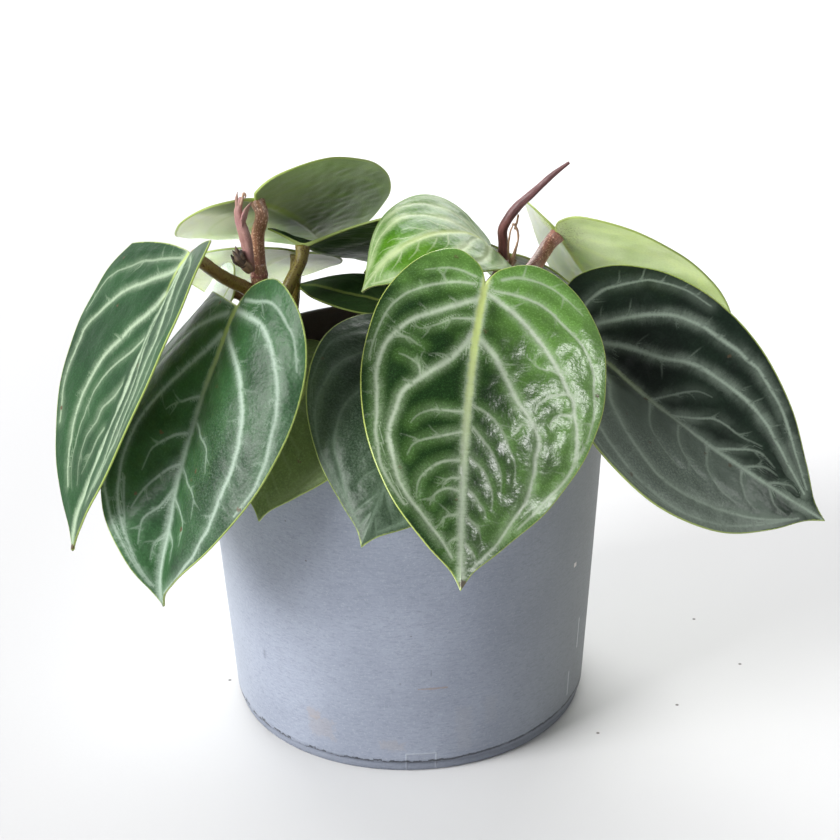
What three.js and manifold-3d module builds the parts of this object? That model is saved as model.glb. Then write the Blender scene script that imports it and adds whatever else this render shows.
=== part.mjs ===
// A potted peperomia: a grey nursery pot, its soil, three leafy shoots and fifteen heart-shaped leaves.
// Millimetres, +Z up. The origin is the centre of the pot's underside; -Y is the front.

import * as THREE from 'three';
import { mergeVertices } from 'three/addons/utils/BufferGeometryUtils.js';
import Module from 'manifold-3d';

const wasm = await Module();
wasm.setup();

// ---- driving dimensions --------------------------------------------------------------------

const GAP = 0.3; // clearance between pieces that touch

const POT = {
  rimRadius: 60,
  footRadius: 53.9,
  height: 103.4,
  wall: 1.6,
  floor: 2.2,
  footHeight: 3,
  footInset: 0.5,
  rimRound: 0.5,
  sides: 60,
  drainCount: 8,
  drainRadius: 4,
  drainCircle: 38,
};

const SOIL = { level: 93, bump: 2.2, rings: 5, sides: 30 };

const BLADE = { midThickness: 1.5, edgeThickness: 0.8, along: 15, across: 3, fan: 0.24 };

const TUBE_SIDES = 8;

// Half of a leaf's flat outline, from the notch at its base round to its tip:
// x is along the midrib over its length, y is out to the side over the half width.
const HALF_OUTLINE = new THREE.SplineCurve([
  [-0.02, 0], [-0.085, 0.1], [-0.13, 0.36], [-0.06, 0.7], [0.09, 0.93], [0.3, 1],
  [0.52, 0.9], [0.72, 0.64], [0.86, 0.32], [0.94, 0.1], [1, 0],
].map(([x, y]) => new THREE.Vector2(x, y)));

// Leaves. at: where the leaf stalk meets the blade. heading and pitch: the way the midrib sets out.
// bend, droop, twist: how far heading, pitch and roll turn by the tip; hook: a last turn in pitch.
// fold: the rise of each half from the midrib at base and tip; cup: its turn out to the margin;
// tilt: how much more the left half rises.
// length: from stalk to tip; left, right: the half widths; lobes: how far each half reaches back past
// the stalk, over its full reach. Angles in degrees.
const LEAVES = {
  leaf_front: {
    at: [23, -27, 141], heading: -103, bend: 11, pitch: -30, droop: -26, hook: 12, roll: -14, twist: -2,
    fold: [-1, -5], cup: -18, length: 88, left: 39, right: 30,
  },
  leaf_front_left: {
    at: [-44, -36, 140], heading: -142, bend: 8, pitch: -58, droop: -18, hook: -30, roll: 7, twist: -19,
    fold: [5, 46], cup: -51, length: 88, left: 35, right: 34, lobes: [1, 0.05],
  },
  leaf_far_left: {
    at: [-59, -12, 146.8], heading: -131, bend: -12, pitch: -43, droop: -28, hook: -10, roll: 22,
    twist: -12, fold: [14, 10], cup: -10, length: 91, left: 33, right: 37, lobes: [0.06, 0.15], tilt: 7,
  },
  leaf_right: {
    at: [48.3, -4, 118.5], heading: -42, bend: 32, pitch: -30, droop: 0, hook: 0, roll: 4, twist: 50,
    fold: [30, 6], cup: 3, length: 92, left: 36, right: 36, lobes: [0.95, 1],
  },
  leaf_front_mid: {
    at: [9, -30, 125], heading: -98, bend: -34, pitch: -10.5, droop: -50, hook: 5, roll: -15, twist: -6,
    fold: [7, -6], cup: -9, length: 66, left: 32, right: 31,
  },
  leaf_low_left: {
    at: [-20, -24, 120], heading: -113, bend: -6, pitch: -2, droop: -66, hook: 0, roll: -2, twist: -1,
    fold: [3, 0], cup: -17, length: 57, left: 27, right: 26,
  },
  leaf_young: {
    at: [24.5, 4, 142], heading: -143, bend: -17, pitch: 42, droop: -103, hook: 7, roll: -18, twist: 11,
    fold: [8, -13], cup: -8, length: 47, left: 20, right: 22,
  },
  leaf_back_right: {
    at: [46.7, 19, 139.7], heading: 42, bend: 8, pitch: -52, droop: 17, hook: 0, roll: 9, twist: -21,
    fold: [15, -6], cup: 20, length: 92, left: 26, right: 41, lobes: [0.55, 0.95], tilt: -11,
  },
  leaf_back_left: {
    at: [-40.9, 5, 156.5], heading: 69, bend: 13, pitch: -25, droop: -11, hook: 0, roll: -29, twist: 18,
    fold: [6, 11], cup: -5, length: 81, left: 32.5, right: 32,
  },
  leaf_back_mid: {
    at: [-29.1, 19, 137.7], heading: 58, bend: 6, pitch: -27, droop: 6, hook: 0, roll: -7, twist: 6,
    fold: [25, 12], cup: -12, length: 52, left: 17, right: 34, lobes: [0, 0.05],
  },
  leaf_rear_left: {
    at: [-32, 33.6, 129.6], heading: 118, bend: 10, pitch: -20, droop: -26, hook: -10, roll: 16, twist: 0,
    fold: [2, 4], cup: -14, length: 64, left: 29, right: 19, lobes: [1, 0.8],
  },
  leaf_rear_mid: {
    at: [2.5, 29, 127.3], heading: 90, bend: -4, pitch: -28, droop: -18, hook: -10, roll: 0, twist: 0,
    fold: [4, 4], cup: -20, length: 64, left: 15, right: 20,
  },
  leaf_inner: {
    at: [-4.3, 16, 119.5], heading: 162, bend: 0, pitch: 8, droop: -4, hook: 0, roll: 2, twist: 0,
    fold: [6, 4], cup: -8, length: 30, left: 13, right: 18,
  },
  leaf_rear_right: {
    at: [33, 25, 130.5], heading: 72, bend: -4, pitch: -30, droop: -25, hook: -10, roll: 14, twist: 0,
    fold: [4, 4], cup: -16, length: 64, left: 20, right: 20,
  },
  leaf_under_left: {
    at: [-50.7, 13, 126.1], heading: -162, bend: 4, pitch: -54, droop: -16, hook: -10, roll: 10, twist: 0,
    fold: [6, 6], cup: -16, length: 62, left: 12, right: 34, lobes: [0.3, 0.6],
  },
};

// Shoots: a thick red-brown stem out of the soil and the leaf stalks that grow from it.
// points run upwards; radii are at the two ends of each tube.
const SHOOTS = {
  shoot_left: {
    trunk: {
      points: [[-30, 6, 84], [-36, 6, 104], [-40, 4, 118], [-41.1, 3, 130], [-41.2, 3, 138]],
      radii: [3.3, 3, 2.1],
    },
    stalks: {
      leaf_far_left: {
        points: [[-41, 3, 126], [-44.5, 1.5, 130.4], [-50.5, -4.5, 136.5]], radii: [2.1, 1.8],
      },
      leaf_back_left: { points: [[-41.2, 3, 134], [-41.1, 3.6, 146]], radii: [2.1, 1.9] },
      leaf_under_left: { points: [[-40, 4, 113], [-45, 9, 119]], radii: [2, 1.8] },
      leaf_front_left: { points: [[-40, 4, 116], [-43, -14, 129]], radii: [2.2, 2] },
      leaf_back_mid: { points: [[-37, 6, 106], [-35.5, 11, 122]], radii: [2.2, 1.9] },
      leaf_rear_left: { points: [[-36, 6, 103], [-33, 16, 118]], radii: [2.1, 1.8] },
    },
  },
  shoot_middle: {
    trunk: { points: [[-8, 2, 84], [-8, 3, 98], [-8, 5, 107], [-8, 7, 112]], radii: [3.2, 2.4] },
    stalks: {
      leaf_low_left: { points: [[-8, 3, 99], [-13, -12, 117]], radii: [2.2, 1.9] },
      leaf_front_mid: { points: [[-8, 4, 102], [2, -16, 117]], radii: [2.2, 1.9] },
      leaf_inner: { points: [[-8, 6, 107], [-5, 10, 112]], radii: [2, 1.6] },
      leaf_rear_mid: { points: [[-8, 6, 103], [-3, 18, 114]], radii: [2, 1.8] },
    },
  },
  shoot_right: {
    trunk: {
      points: [[18, 2, 84], [21, 3, 104], [25, 4, 119], [28.5, 5, 130], [29.5, 5, 136.5]],
      radii: [3.4, 2.2],
    },
    stalks: {
      leaf_front: { points: [[28.5, 4, 131], [27.5, -8, 136.5]], radii: [2.1, 1.9] },
      leaf_right: { points: [[23, 4, 112], [37, -1, 116]], radii: [2.2, 2] },
      leaf_young: { points: [[29, 5, 134], [27.5, 5, 138]], radii: [1.5, 1.2] },
      leaf_back_right: { points: [[27, 5, 127], [37, 7, 132]], radii: [2.3, 2.1] },
      leaf_rear_right: { points: [[25, 5, 119], [33, 17, 122]], radii: [2.1, 1.8] },
    },
  },
};

// The flower spike and the small bracts at the shoot tips.
const SPIKE = {
  points: [
    [29.5, 6, 134.5], [29.6, 7, 141], [29.4, 6, 145.6], [30.9, 5, 149.3], [33.8, 5, 153.2],
    [36.9, 5, 156.1], [40, 5, 159], [43.9, 5, 162.6], [48.2, 5, 165.9],
  ],
  radii: [1.5, 1.5, 1.4, 1.4, 1.4, 1.2, 1, 0.8, 0.45],
};
const BRACT_LEFT = {
  points: [
    [-43, 0, 137], [-44, -2, 143], [-45.6, -2, 148.5], [-46.2, -2, 154.5], [-46, -2, 159],
    [-45.6, -2, 161.5],
  ],
  radii: [1.1, 1.3, 1.4, 1.2, 0.4],
};
const BUD_LEFT = {
  points: [[-43.5, -1.5, 137], [-45.5, -3, 140.5], [-47, -4, 144]],
  radii: [1.3, 2.1, 0.6],
};
const BRACT_RIGHT = {
  points: [[31.5, 4, 136], [33, 4, 142], [32.8, 4, 148.5]],
  radii: [0.9, 1.3, 0.3],
};

const MATERIALS = {
  pot: { color: 0x8c95a3, roughness: 0.55 },
  soil: { color: 0x241712, roughness: 1 },
  leaf: { color: 0x3b6b3a, roughness: 0.4 },
  young: { color: 0x74a843, roughness: 0.4 },
  stem: { color: 0x6b3a2e, roughness: 0.5 },
  spike: { color: 0x7a4a45, roughness: 0.5 },
  bract: { color: 0xb58078, roughness: 0.6 },
  bud: { color: 0x2d1c17, roughness: 0.8 },
};

// ---- solids ----------------------------------------------------------------------------------

const radians = THREE.MathUtils.degToRad;
const mix = THREE.MathUtils.lerp;

/** A closed geometry as a manifold solid. */
function solid(geometry) {
  const bare = new THREE.BufferGeometry();
  bare.setAttribute('position', geometry.getAttribute('position'));
  if (geometry.index) bare.setIndex(geometry.index);
  const merged = mergeVertices(bare, 1e-4);
  const index = Array.from(merged.index.array);
  const kept = [];
  for (let i = 0; i < index.length; i += 3) {
    const [a, b, c] = index.slice(i, i + 3);
    if (a !== b && b !== c && c !== a) kept.push(a, b, c);
  }
  return new wasm.Manifold(new wasm.Mesh({
    numProp: 3,
    vertProperties: new Float32Array(merged.getAttribute('position').array),
    triVerts: new Uint32Array(kept),
  }));
}

/** The largest body of a solid, as a three.js geometry. */
function geometryOf(manifold) {
  const bodies = manifold.decompose();
  const largest = bodies.reduce((a, b) => (a.volume() >= b.volume() ? a : b));
  const mesh = largest.getMesh();
  const positions = new Float32Array(mesh.numVert * 3);
  for (let i = 0; i < mesh.numVert; i++) {
    for (let k = 0; k < 3; k++) positions[3 * i + k] = mesh.vertProperties[mesh.numProp * i + k];
  }
  const geometry = new THREE.BufferGeometry();
  geometry.setAttribute('position', new THREE.BufferAttribute(positions, 3));
  geometry.setIndex(Array.from(mesh.triVerts));
  geometry.computeVertexNormals();
  return geometry;
}

function joined(solids) {
  return solids.reduce((a, b) => a.add(b));
}

/** A round tube through points, with its radius running through radii and both ends closed. */
function tube(points, radii, sides = TUBE_SIDES, steps = 2 * points.length, swell = 0) {
  const curve = new THREE.CatmullRomCurve3(points.map((p) => new THREE.Vector3(...p)), false, 'centripetal');
  const frames = curve.computeFrenetFrames(steps);
  const positions = [];
  const index = [];
  for (let i = 0; i <= steps; i++) {
    const centre = curve.getPointAt(i / steps);
    const place = (i / steps) * (radii.length - 1);
    const k = Math.min(Math.floor(place), radii.length - 2);
    const radius = mix(radii[k], radii[k + 1], place - k) + swell;
    for (let j = 0; j < sides; j++) {
      const angle = (2 * Math.PI * j) / sides;
      const p = centre.clone()
        .addScaledVector(frames.normals[i], radius * Math.cos(angle))
        .addScaledVector(frames.binormals[i], radius * Math.sin(angle));
      positions.push(p.x, p.y, p.z);
      const next = (j + 1) % sides;
      if (i < steps) {
        const a = i * sides + j;
        const b = i * sides + next;
        index.push(a, b, b + sides, a, b + sides, a + sides);
      }
    }
  }
  const first = curve.getPointAt(0);
  const last = curve.getPointAt(1);
  const startCentre = positions.length / 3;
  positions.push(first.x, first.y, first.z, last.x, last.y, last.z);
  for (let j = 0; j < sides; j++) {
    const next = (j + 1) % sides;
    index.push(startCentre, next, j);
    index.push(startCentre + 1, steps * sides + j, steps * sides + next);
  }
  const geometry = new THREE.BufferGeometry();
  geometry.setAttribute('position', new THREE.Float32BufferAttribute(positions, 3));
  geometry.setIndex(index);
  return solid(geometry);
}

// ---- leaves ----------------------------------------------------------------------------------

/** The midrib's points and frames, from behind the stalk to the tip. */
function midrib(leaf, steps = 60) {
  const back = -0.15;
  const stations = [];
  const point = new THREE.Vector3();
  let previous = null;
  for (let i = 0; i <= steps; i++) {
    const u = mix(back, 1, i / steps);
    const a = Math.max(u, 0);
    const hook = leaf.hook * Math.max((a - 0.8) / 0.2, 0) ** 2;
    const pitch = radians(leaf.pitch + leaf.droop * a + hook);
    const heading = radians(leaf.heading + leaf.bend * a);
    const roll = radians(leaf.roll + leaf.twist * a);
    const along = new THREE.Vector3(
      Math.cos(pitch) * Math.cos(heading), Math.cos(pitch) * Math.sin(heading), Math.sin(pitch));
    const level = new THREE.Vector3(-Math.sin(heading), Math.cos(heading), 0);
    const up = along.clone().cross(level);
    const side = level.clone().multiplyScalar(Math.cos(roll)).addScaledVector(up, Math.sin(roll));
    const normal = up.multiplyScalar(Math.cos(roll)).addScaledVector(level, -Math.sin(roll));
    if (previous) {
      const stride = (leaf.length * (1 - back)) / steps;
      point.addScaledVector(previous.clone().add(along), stride / 2);
    }
    previous = along.clone();
    stations.push({ u, point: point.clone(), side, normal });
  }
  const zero = (-back / (1 - back)) * steps;
  const k = Math.floor(zero);
  const origin = stations[k].point.clone().lerp(stations[k + 1].point, zero - k);
  const shift = new THREE.Vector3(...leaf.at).sub(origin);
  stations.forEach((station) => station.point.add(shift));
  return (u) => {
    const place = THREE.MathUtils.clamp(((u - back) / (1 - back)) * steps, 0, steps - 1e-9);
    const i = Math.floor(place);
    const between = (key) => stations[i][key].clone().lerp(stations[i + 1][key], place - i);
    return { point: between('point'), side: between('side'), normal: between('normal') };
  };
}

/** The point of the blade's middle surface at u along the midrib and v out to a side (+1 or -1). */
function bladePoint(leaf, rib, u, v, side) {
  const width = side > 0 ? leaf.left : leaf.right;
  const { point, side: across, normal } = rib(u);
  const tilt = side > 0 ? leaf.tilt ?? 0 : 0;
  const fold = radians(mix(leaf.fold[0], leaf.fold[1], THREE.MathUtils.clamp(u, 0, 1)) + tilt);
  const turn = radians(leaf.cup) / width;
  const out = (Math.sin(fold + turn * v) - Math.sin(fold)) / turn;
  const rise = (Math.cos(fold) - Math.cos(fold + turn * v)) / turn;
  return point.addScaledVector(across, side * out).addScaledVector(normal, rise);
}

/** A leaf blade as a closed shell, thickest at the midrib; swell grows it by that much all over. */
function blade(leaf, swell = 0) {
  const rib = midrib(leaf);
  const { along, across, fan } = BLADE;
  const reach = leaf.lobes ?? [1, 1];
  const points = [];
  const thickness = [];
  const rows = [];
  for (let i = 0; i <= along; i++) {
    const a = i / along;
    const edge = HALF_OUTLINE.getPoint(a);
    const start = Math.max((a - fan) / (1 - fan), 0);
    const past = ((swell / 2) * (2 * a - 1)) / leaf.length;
    const row = [];
    for (let j = -across; j <= across; j++) {
      const side = j < 0 ? -1 : 1;
      const c = Math.abs(j) / across;
      const width = side > 0 ? leaf.left : leaf.right;
      const margin = edge.x < 0 ? edge.x * reach[side > 0 ? 0 : 1] : edge.x;
      const u = mix(start, margin, c) + past * c;
      const v = edge.y > 1e-6 ? (edge.y * width + swell / 2) * c : 0;
      points.push(bladePoint(leaf, rib, u, v, side));
      thickness.push(mix(BLADE.midThickness, BLADE.edgeThickness, c) + swell);
      row.push(points.length - 1);
    }
    rows.push(row);
  }
  const positions = new Float32Array(points.flatMap((p) => p.toArray()));
  const faces = [];
  for (let i = 0; i < along; i++) {
    for (let j = 0; j < 2 * across; j++) {
      const [a, b, c, d] = [rows[i][j], rows[i + 1][j], rows[i + 1][j + 1], rows[i][j + 1]];
      if (j < across) faces.push(a, c, b, a, d, c);
      else faces.push(a, d, b, b, d, c);
    }
  }
  const sheet = new THREE.BufferGeometry();
  sheet.setAttribute('position', new THREE.BufferAttribute(positions, 3));
  sheet.setAttribute('thick', new THREE.Float32BufferAttribute(thickness, 1));
  sheet.setIndex(faces);
  return solid(shell(sheet));
}

/** A sheet given thickness along its normals, with the same triangles on both faces. */
function shell(sheet) {
  const source = sheet.getAttribute('position');
  const thick = sheet.getAttribute('thick');
  const ids = [];
  const found = new Map();
  const points = [];
  const halves = [];
  for (let i = 0; i < source.count; i++) {
    const p = new THREE.Vector3().fromBufferAttribute(source, i);
    const key = p.toArray().map((x) => Math.round(x * 1e3)).join();
    if (!found.has(key)) {
      found.set(key, points.length);
      points.push(p);
      halves.push(thick.getX(i) / 2);
    }
    ids.push(found.get(key));
  }
  const index = Array.from(sheet.index.array).map((i) => ids[i]);
  const faces = [];
  for (let i = 0; i < index.length; i += 3) {
    const face = index.slice(i, i + 3);
    if (new Set(face).size === 3) faces.push(face);
  }
  const normals = points.map(() => new THREE.Vector3());
  const edges = new Map();
  for (const [a, b, c] of faces) {
    const n = points[b].clone().sub(points[a]).cross(points[c].clone().sub(points[a]));
    for (const i of [a, b, c]) normals[i].add(n);
    for (const [i, j] of [[a, b], [b, c], [c, a]]) edges.set(`${i},${j}`, [i, j]);
  }
  const count = points.length;
  const positions = [];
  for (const sign of [1, -1]) {
    points.forEach((p, i) => {
      const q = p.clone().addScaledVector(normals[i].clone().normalize(), sign * halves[i]);
      positions.push(q.x, q.y, q.z);
    });
  }
  const all = [];
  for (const [a, b, c] of faces) all.push(a, b, c, a + count, c + count, b + count);
  for (const [i, j] of edges.values()) {
    if (!edges.has(`${j},${i}`)) all.push(j, i, i + count, j, i + count, j + count);
  }
  const geometry = new THREE.BufferGeometry();
  geometry.setAttribute('position', new THREE.Float32BufferAttribute(positions, 3));
  geometry.setIndex(all);
  return geometry;
}

// ---- pot and soil ----------------------------------------------------------------------------

function wallRadius(z) {
  return mix(POT.footRadius, POT.rimRadius, z / POT.height);
}

function pot() {
  const { height, wall, floor, footHeight, footInset, rimRound } = POT;
  const profile = [
    [0, 0],
    [wallRadius(0) - footInset - 1, 0],
    [wallRadius(0) - footInset, 1],
    [wallRadius(footHeight) - footInset, footHeight - 0.4],
    [wallRadius(footHeight), footHeight],
    [wallRadius(height) - 0.1, height - rimRound],
    [wallRadius(height) - rimRound, height],
    [wallRadius(height) - wall + rimRound, height],
    [wallRadius(height) - wall, height - rimRound],
    [wallRadius(floor) - wall, floor],
    [0, floor],
  ].map(([x, y]) => new THREE.Vector2(x, y));
  const body = new THREE.LatheGeometry(profile, POT.sides);
  body.rotateX(Math.PI / 2);
  const holes = [];
  for (let i = 0; i < POT.drainCount; i++) {
    const angle = (2 * Math.PI * (i + 0.5)) / POT.drainCount;
    const hole = new THREE.CylinderGeometry(POT.drainRadius, POT.drainRadius, 4 * floor, 16);
    hole.rotateX(Math.PI / 2);
    hole.translate(POT.drainCircle * Math.cos(angle), POT.drainCircle * Math.sin(angle), floor / 2);
    holes.push(solid(hole));
  }
  return solid(body).subtract(joined(holes));
}

/** The height of the soil, gently lumpy. */
function soilHeight(x, y) {
  return SOIL.level + SOIL.bump * (0.5 * Math.sin(0.21 * x + 0.8) * Math.cos(0.17 * y)
    + 0.3 * Math.sin(0.43 * y - 0.31 * x + 2) + 0.2 * Math.cos(0.6 * x + 0.5 * y));
}

function soil() {
  const bottom = POT.floor + GAP;
  const bottomRadius = wallRadius(bottom) - POT.wall - GAP;
  const topRadius = wallRadius(SOIL.level) - POT.wall - 2 * GAP;
  const positions = [0, 0, bottom, 0, 0, soilHeight(0, 0)];
  const index = [];
  const ringStart = (ring) => 2 + ring * SOIL.sides;
  for (let ring = 0; ring <= SOIL.rings; ring++) {
    const lowest = ring === SOIL.rings;
    const radius = lowest ? bottomRadius : (topRadius * (ring + 1)) / SOIL.rings;
    for (let j = 0; j < SOIL.sides; j++) {
      const angle = (2 * Math.PI * j) / SOIL.sides;
      const x = radius * Math.cos(angle);
      const y = radius * Math.sin(angle);
      positions.push(x, y, lowest ? bottom : soilHeight(x, y));
    }
  }
  for (let j = 0; j < SOIL.sides; j++) {
    const next = (j + 1) % SOIL.sides;
    index.push(1, ringStart(0) + j, ringStart(0) + next);
    index.push(0, ringStart(SOIL.rings) + next, ringStart(SOIL.rings) + j);
    for (let ring = 0; ring < SOIL.rings; ring++) {
      const [a, b] = [ringStart(ring) + j, ringStart(ring) + next];
      const [c, d] = [ringStart(ring + 1) + j, ringStart(ring + 1) + next];
      index.push(a, c, d, a, d, b);
    }
  }
  const geometry = new THREE.BufferGeometry();
  geometry.setAttribute('position', new THREE.Float32BufferAttribute(positions, 3));
  geometry.setIndex(index);
  return solid(geometry);
}

// ---- assembly --------------------------------------------------------------------------------

const group = new THREE.Group();

function add(name, manifold, material) {
  const mesh = new THREE.Mesh(
    geometryOf(manifold), new THREE.MeshStandardMaterial({ metalness: 0, ...MATERIALS[material] }));
  mesh.name = name;
  group.add(mesh);
}

const blades = Object.entries(LEAVES).map(([name, leaf]) => ({
  name, solid: blade(leaf), clearance: blade(leaf, GAP),
}));

/** A shoot: its trunk and leaf stalks, each stalk ending square to the underside of its blade. */
function shoot({ trunk, stalks }, swell = 0) {
  const tubes = [tube(trunk.points, trunk.radii, TUBE_SIDES, 8, swell)];
  for (const [name, stalk] of Object.entries(stalks)) {
    const leaf = LEAVES[name];
    const { normal } = midrib(leaf)(0);
    const end = new THREE.Vector3(...leaf.at).addScaledVector(normal, -(BLADE.midThickness / 2 + GAP));
    const under = end.clone().addScaledVector(normal, -4);
    tubes.push(tube([...stalk.points, under.toArray(), end.toArray()], stalk.radii, TUBE_SIDES, 8, swell));
  }
  return joined(tubes);
}

const shoots = Object.entries(SHOOTS).map(([name, parts]) => ({
  name, solid: shoot(parts), clearance: shoot(parts, GAP),
}));

const extras = [
  ['flower_spike', SPIKE, 'spike'],
  ['bract_left', BRACT_LEFT, 'bract'],
  ['bud_left', BUD_LEFT, 'bud'],
  ['bract_right', BRACT_RIGHT, 'bract'],
].map(([name, { points, radii }, material]) => ({
  name,
  material,
  solid: tube(points, radii),
  clearance: tube(points, radii, TUBE_SIDES, 2 * points.length, GAP),
}));

add('pot', pot(), 'pot');
add('soil', shoots.reduce((bed, { clearance }) => bed.subtract(clearance), soil()), 'soil');
shoots.forEach(({ name, solid: body }) => {
  add(name, blades.reduce((stem, { clearance }) => stem.subtract(clearance), body), 'stem');
});
extras.forEach(({ name, material, solid: body }, i) => {
  const others = [...shoots, ...extras.slice(0, i)];
  add(name, others.reduce((piece, { clearance }) => piece.subtract(clearance), body), material);
});
blades.forEach(({ name, solid: body }) => add(name, body, name === 'leaf_young' ? 'young' : 'leaf'));

export default group;
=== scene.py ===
import math

import bpy
import numpy as np
from mathutils import Matrix, Vector


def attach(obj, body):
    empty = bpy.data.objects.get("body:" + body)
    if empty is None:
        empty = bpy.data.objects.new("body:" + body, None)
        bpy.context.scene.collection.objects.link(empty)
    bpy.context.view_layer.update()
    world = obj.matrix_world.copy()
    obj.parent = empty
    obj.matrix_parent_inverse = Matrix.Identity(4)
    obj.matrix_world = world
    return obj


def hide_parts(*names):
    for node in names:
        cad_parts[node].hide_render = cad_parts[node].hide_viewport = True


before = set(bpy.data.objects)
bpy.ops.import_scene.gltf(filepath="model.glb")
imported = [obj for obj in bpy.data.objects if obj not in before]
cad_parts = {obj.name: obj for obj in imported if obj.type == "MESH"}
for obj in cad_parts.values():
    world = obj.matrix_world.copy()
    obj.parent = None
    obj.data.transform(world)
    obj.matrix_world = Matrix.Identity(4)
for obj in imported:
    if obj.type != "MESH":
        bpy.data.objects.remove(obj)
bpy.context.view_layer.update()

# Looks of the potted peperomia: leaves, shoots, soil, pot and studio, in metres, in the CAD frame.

MM = 0.001
SEEDS = dict(leaf=3, shoot=40, spike=12, soil=21)

# ---- leaves: the same poses as the CAD, in millimetres and degrees -------------------------------

OUTLINE = np.array([
    (-0.02, 0), (-0.085, 0.1), (-0.13, 0.36), (-0.06, 0.7), (0.09, 0.93), (0.3, 1),
    (0.52, 0.9), (0.72, 0.64), (0.86, 0.32), (0.94, 0.1), (1, 0),
])
FAN = 0.24  # this share of a blade's rows fans out from the stalk
NECK = 0.15  # the middle surface goes on behind the stalk by this share of the length
MID_THICKNESS, EDGE_THICKNESS = 1.5, 0.8
CREASE = 1.6  # how widely the fold at the midrib is rounded
FULL_LENGTH = 88  # a leaf this long has veins of full size
VEIN_STEP = 0.8  # between the points of a vein
MAIN_VEIN = 0.36  # a vein whose half width at its base is more than this is a main one
RIM_POINTS = 90
SEGMENTS, FINE_SEGMENTS = (90, 24), (200, 50)  # cells along a blade and out to each side

KEYS = ("at", "heading", "bend", "pitch", "droop", "hook", "roll", "twist", "fold", "cup",
        "length", "left", "right", "lobes", "tilt")
LEAVES = {name: dict(zip(KEYS, row)) for name, row in {
    "leaf_front": ((23, -27, 141), -103, 11, -30, -26, 12, -14, -2, (-1, -5), -18, 88, 39, 30, (1, 1)),
    "leaf_front_left": ((-44, -36, 140), -142, 8, -58, -18, -30, 7, -19, (5, 46), -51, 88, 35, 34, (1, 0.05)),
    "leaf_far_left": ((-59, -12, 146.8), -131, -12, -43, -28, -10, 22, -12, (14, 10), -10, 91, 33, 37,
                      (0.06, 0.15), 7),
    "leaf_right": ((48.3, -4, 118.5), -42, 32, -30, 0, 0, 4, 50, (30, 6), 3, 92, 36, 36, (0.95, 1)),
    "leaf_front_mid": ((9, -30, 125), -98, -34, -10.5, -50, 5, -15, -6, (7, -6), -9, 66, 32, 31, (1, 1)),
    "leaf_low_left": ((-20, -24, 120), -113, -6, -2, -66, 0, -2, -1, (3, 0), -17, 57, 27, 26, (1, 1)),
    "leaf_young": ((24.5, 4, 142), -143, -17, 42, -103, 7, -18, 11, (8, -13), -8, 47, 20, 22, (1, 1)),
    "leaf_back_right": ((46.7, 19, 139.7), 42, 8, -52, 17, 0, 9, -21, (15, -6), 20, 92, 26, 41, (0.55, 0.95), -11),
    "leaf_back_left": ((-40.9, 5, 156.5), 69, 13, -25, -11, 0, -29, 18, (6, 11), -5, 81, 32.5, 32, (1, 1)),
    "leaf_back_mid": ((-29.1, 19, 137.7), 58, 6, -27, 6, 0, -7, 6, (25, 12), -12, 52, 17, 34, (0, 0.05)),
    "leaf_rear_left": ((-32, 33.6, 129.6), 118, 10, -20, -26, -10, 16, 0, (2, 4), -14, 64, 29, 19, (1, 0.8)),
    "leaf_rear_mid": ((2.5, 29, 127.3), 90, -4, -28, -18, -10, 0, 0, (4, 4), -20, 64, 15, 20, (1, 1)),
    "leaf_inner": ((-4.3, 16, 119.5), 162, 0, 8, -4, 0, 2, 0, (6, 4), -8, 30, 13, 18, (1, 1)),
    "leaf_rear_right": ((33, 25, 130.5), 72, -4, -30, -25, -10, 14, 0, (4, 4), -16, 64, 20, 20, (1, 1)),
    "leaf_under_left": ((-50.7, 13, 126.1), -162, 4, -54, -16, -10, 10, 0, (6, 6), -16, 62, 12, 34, (0.3, 0.6)),
}.items()}

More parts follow.
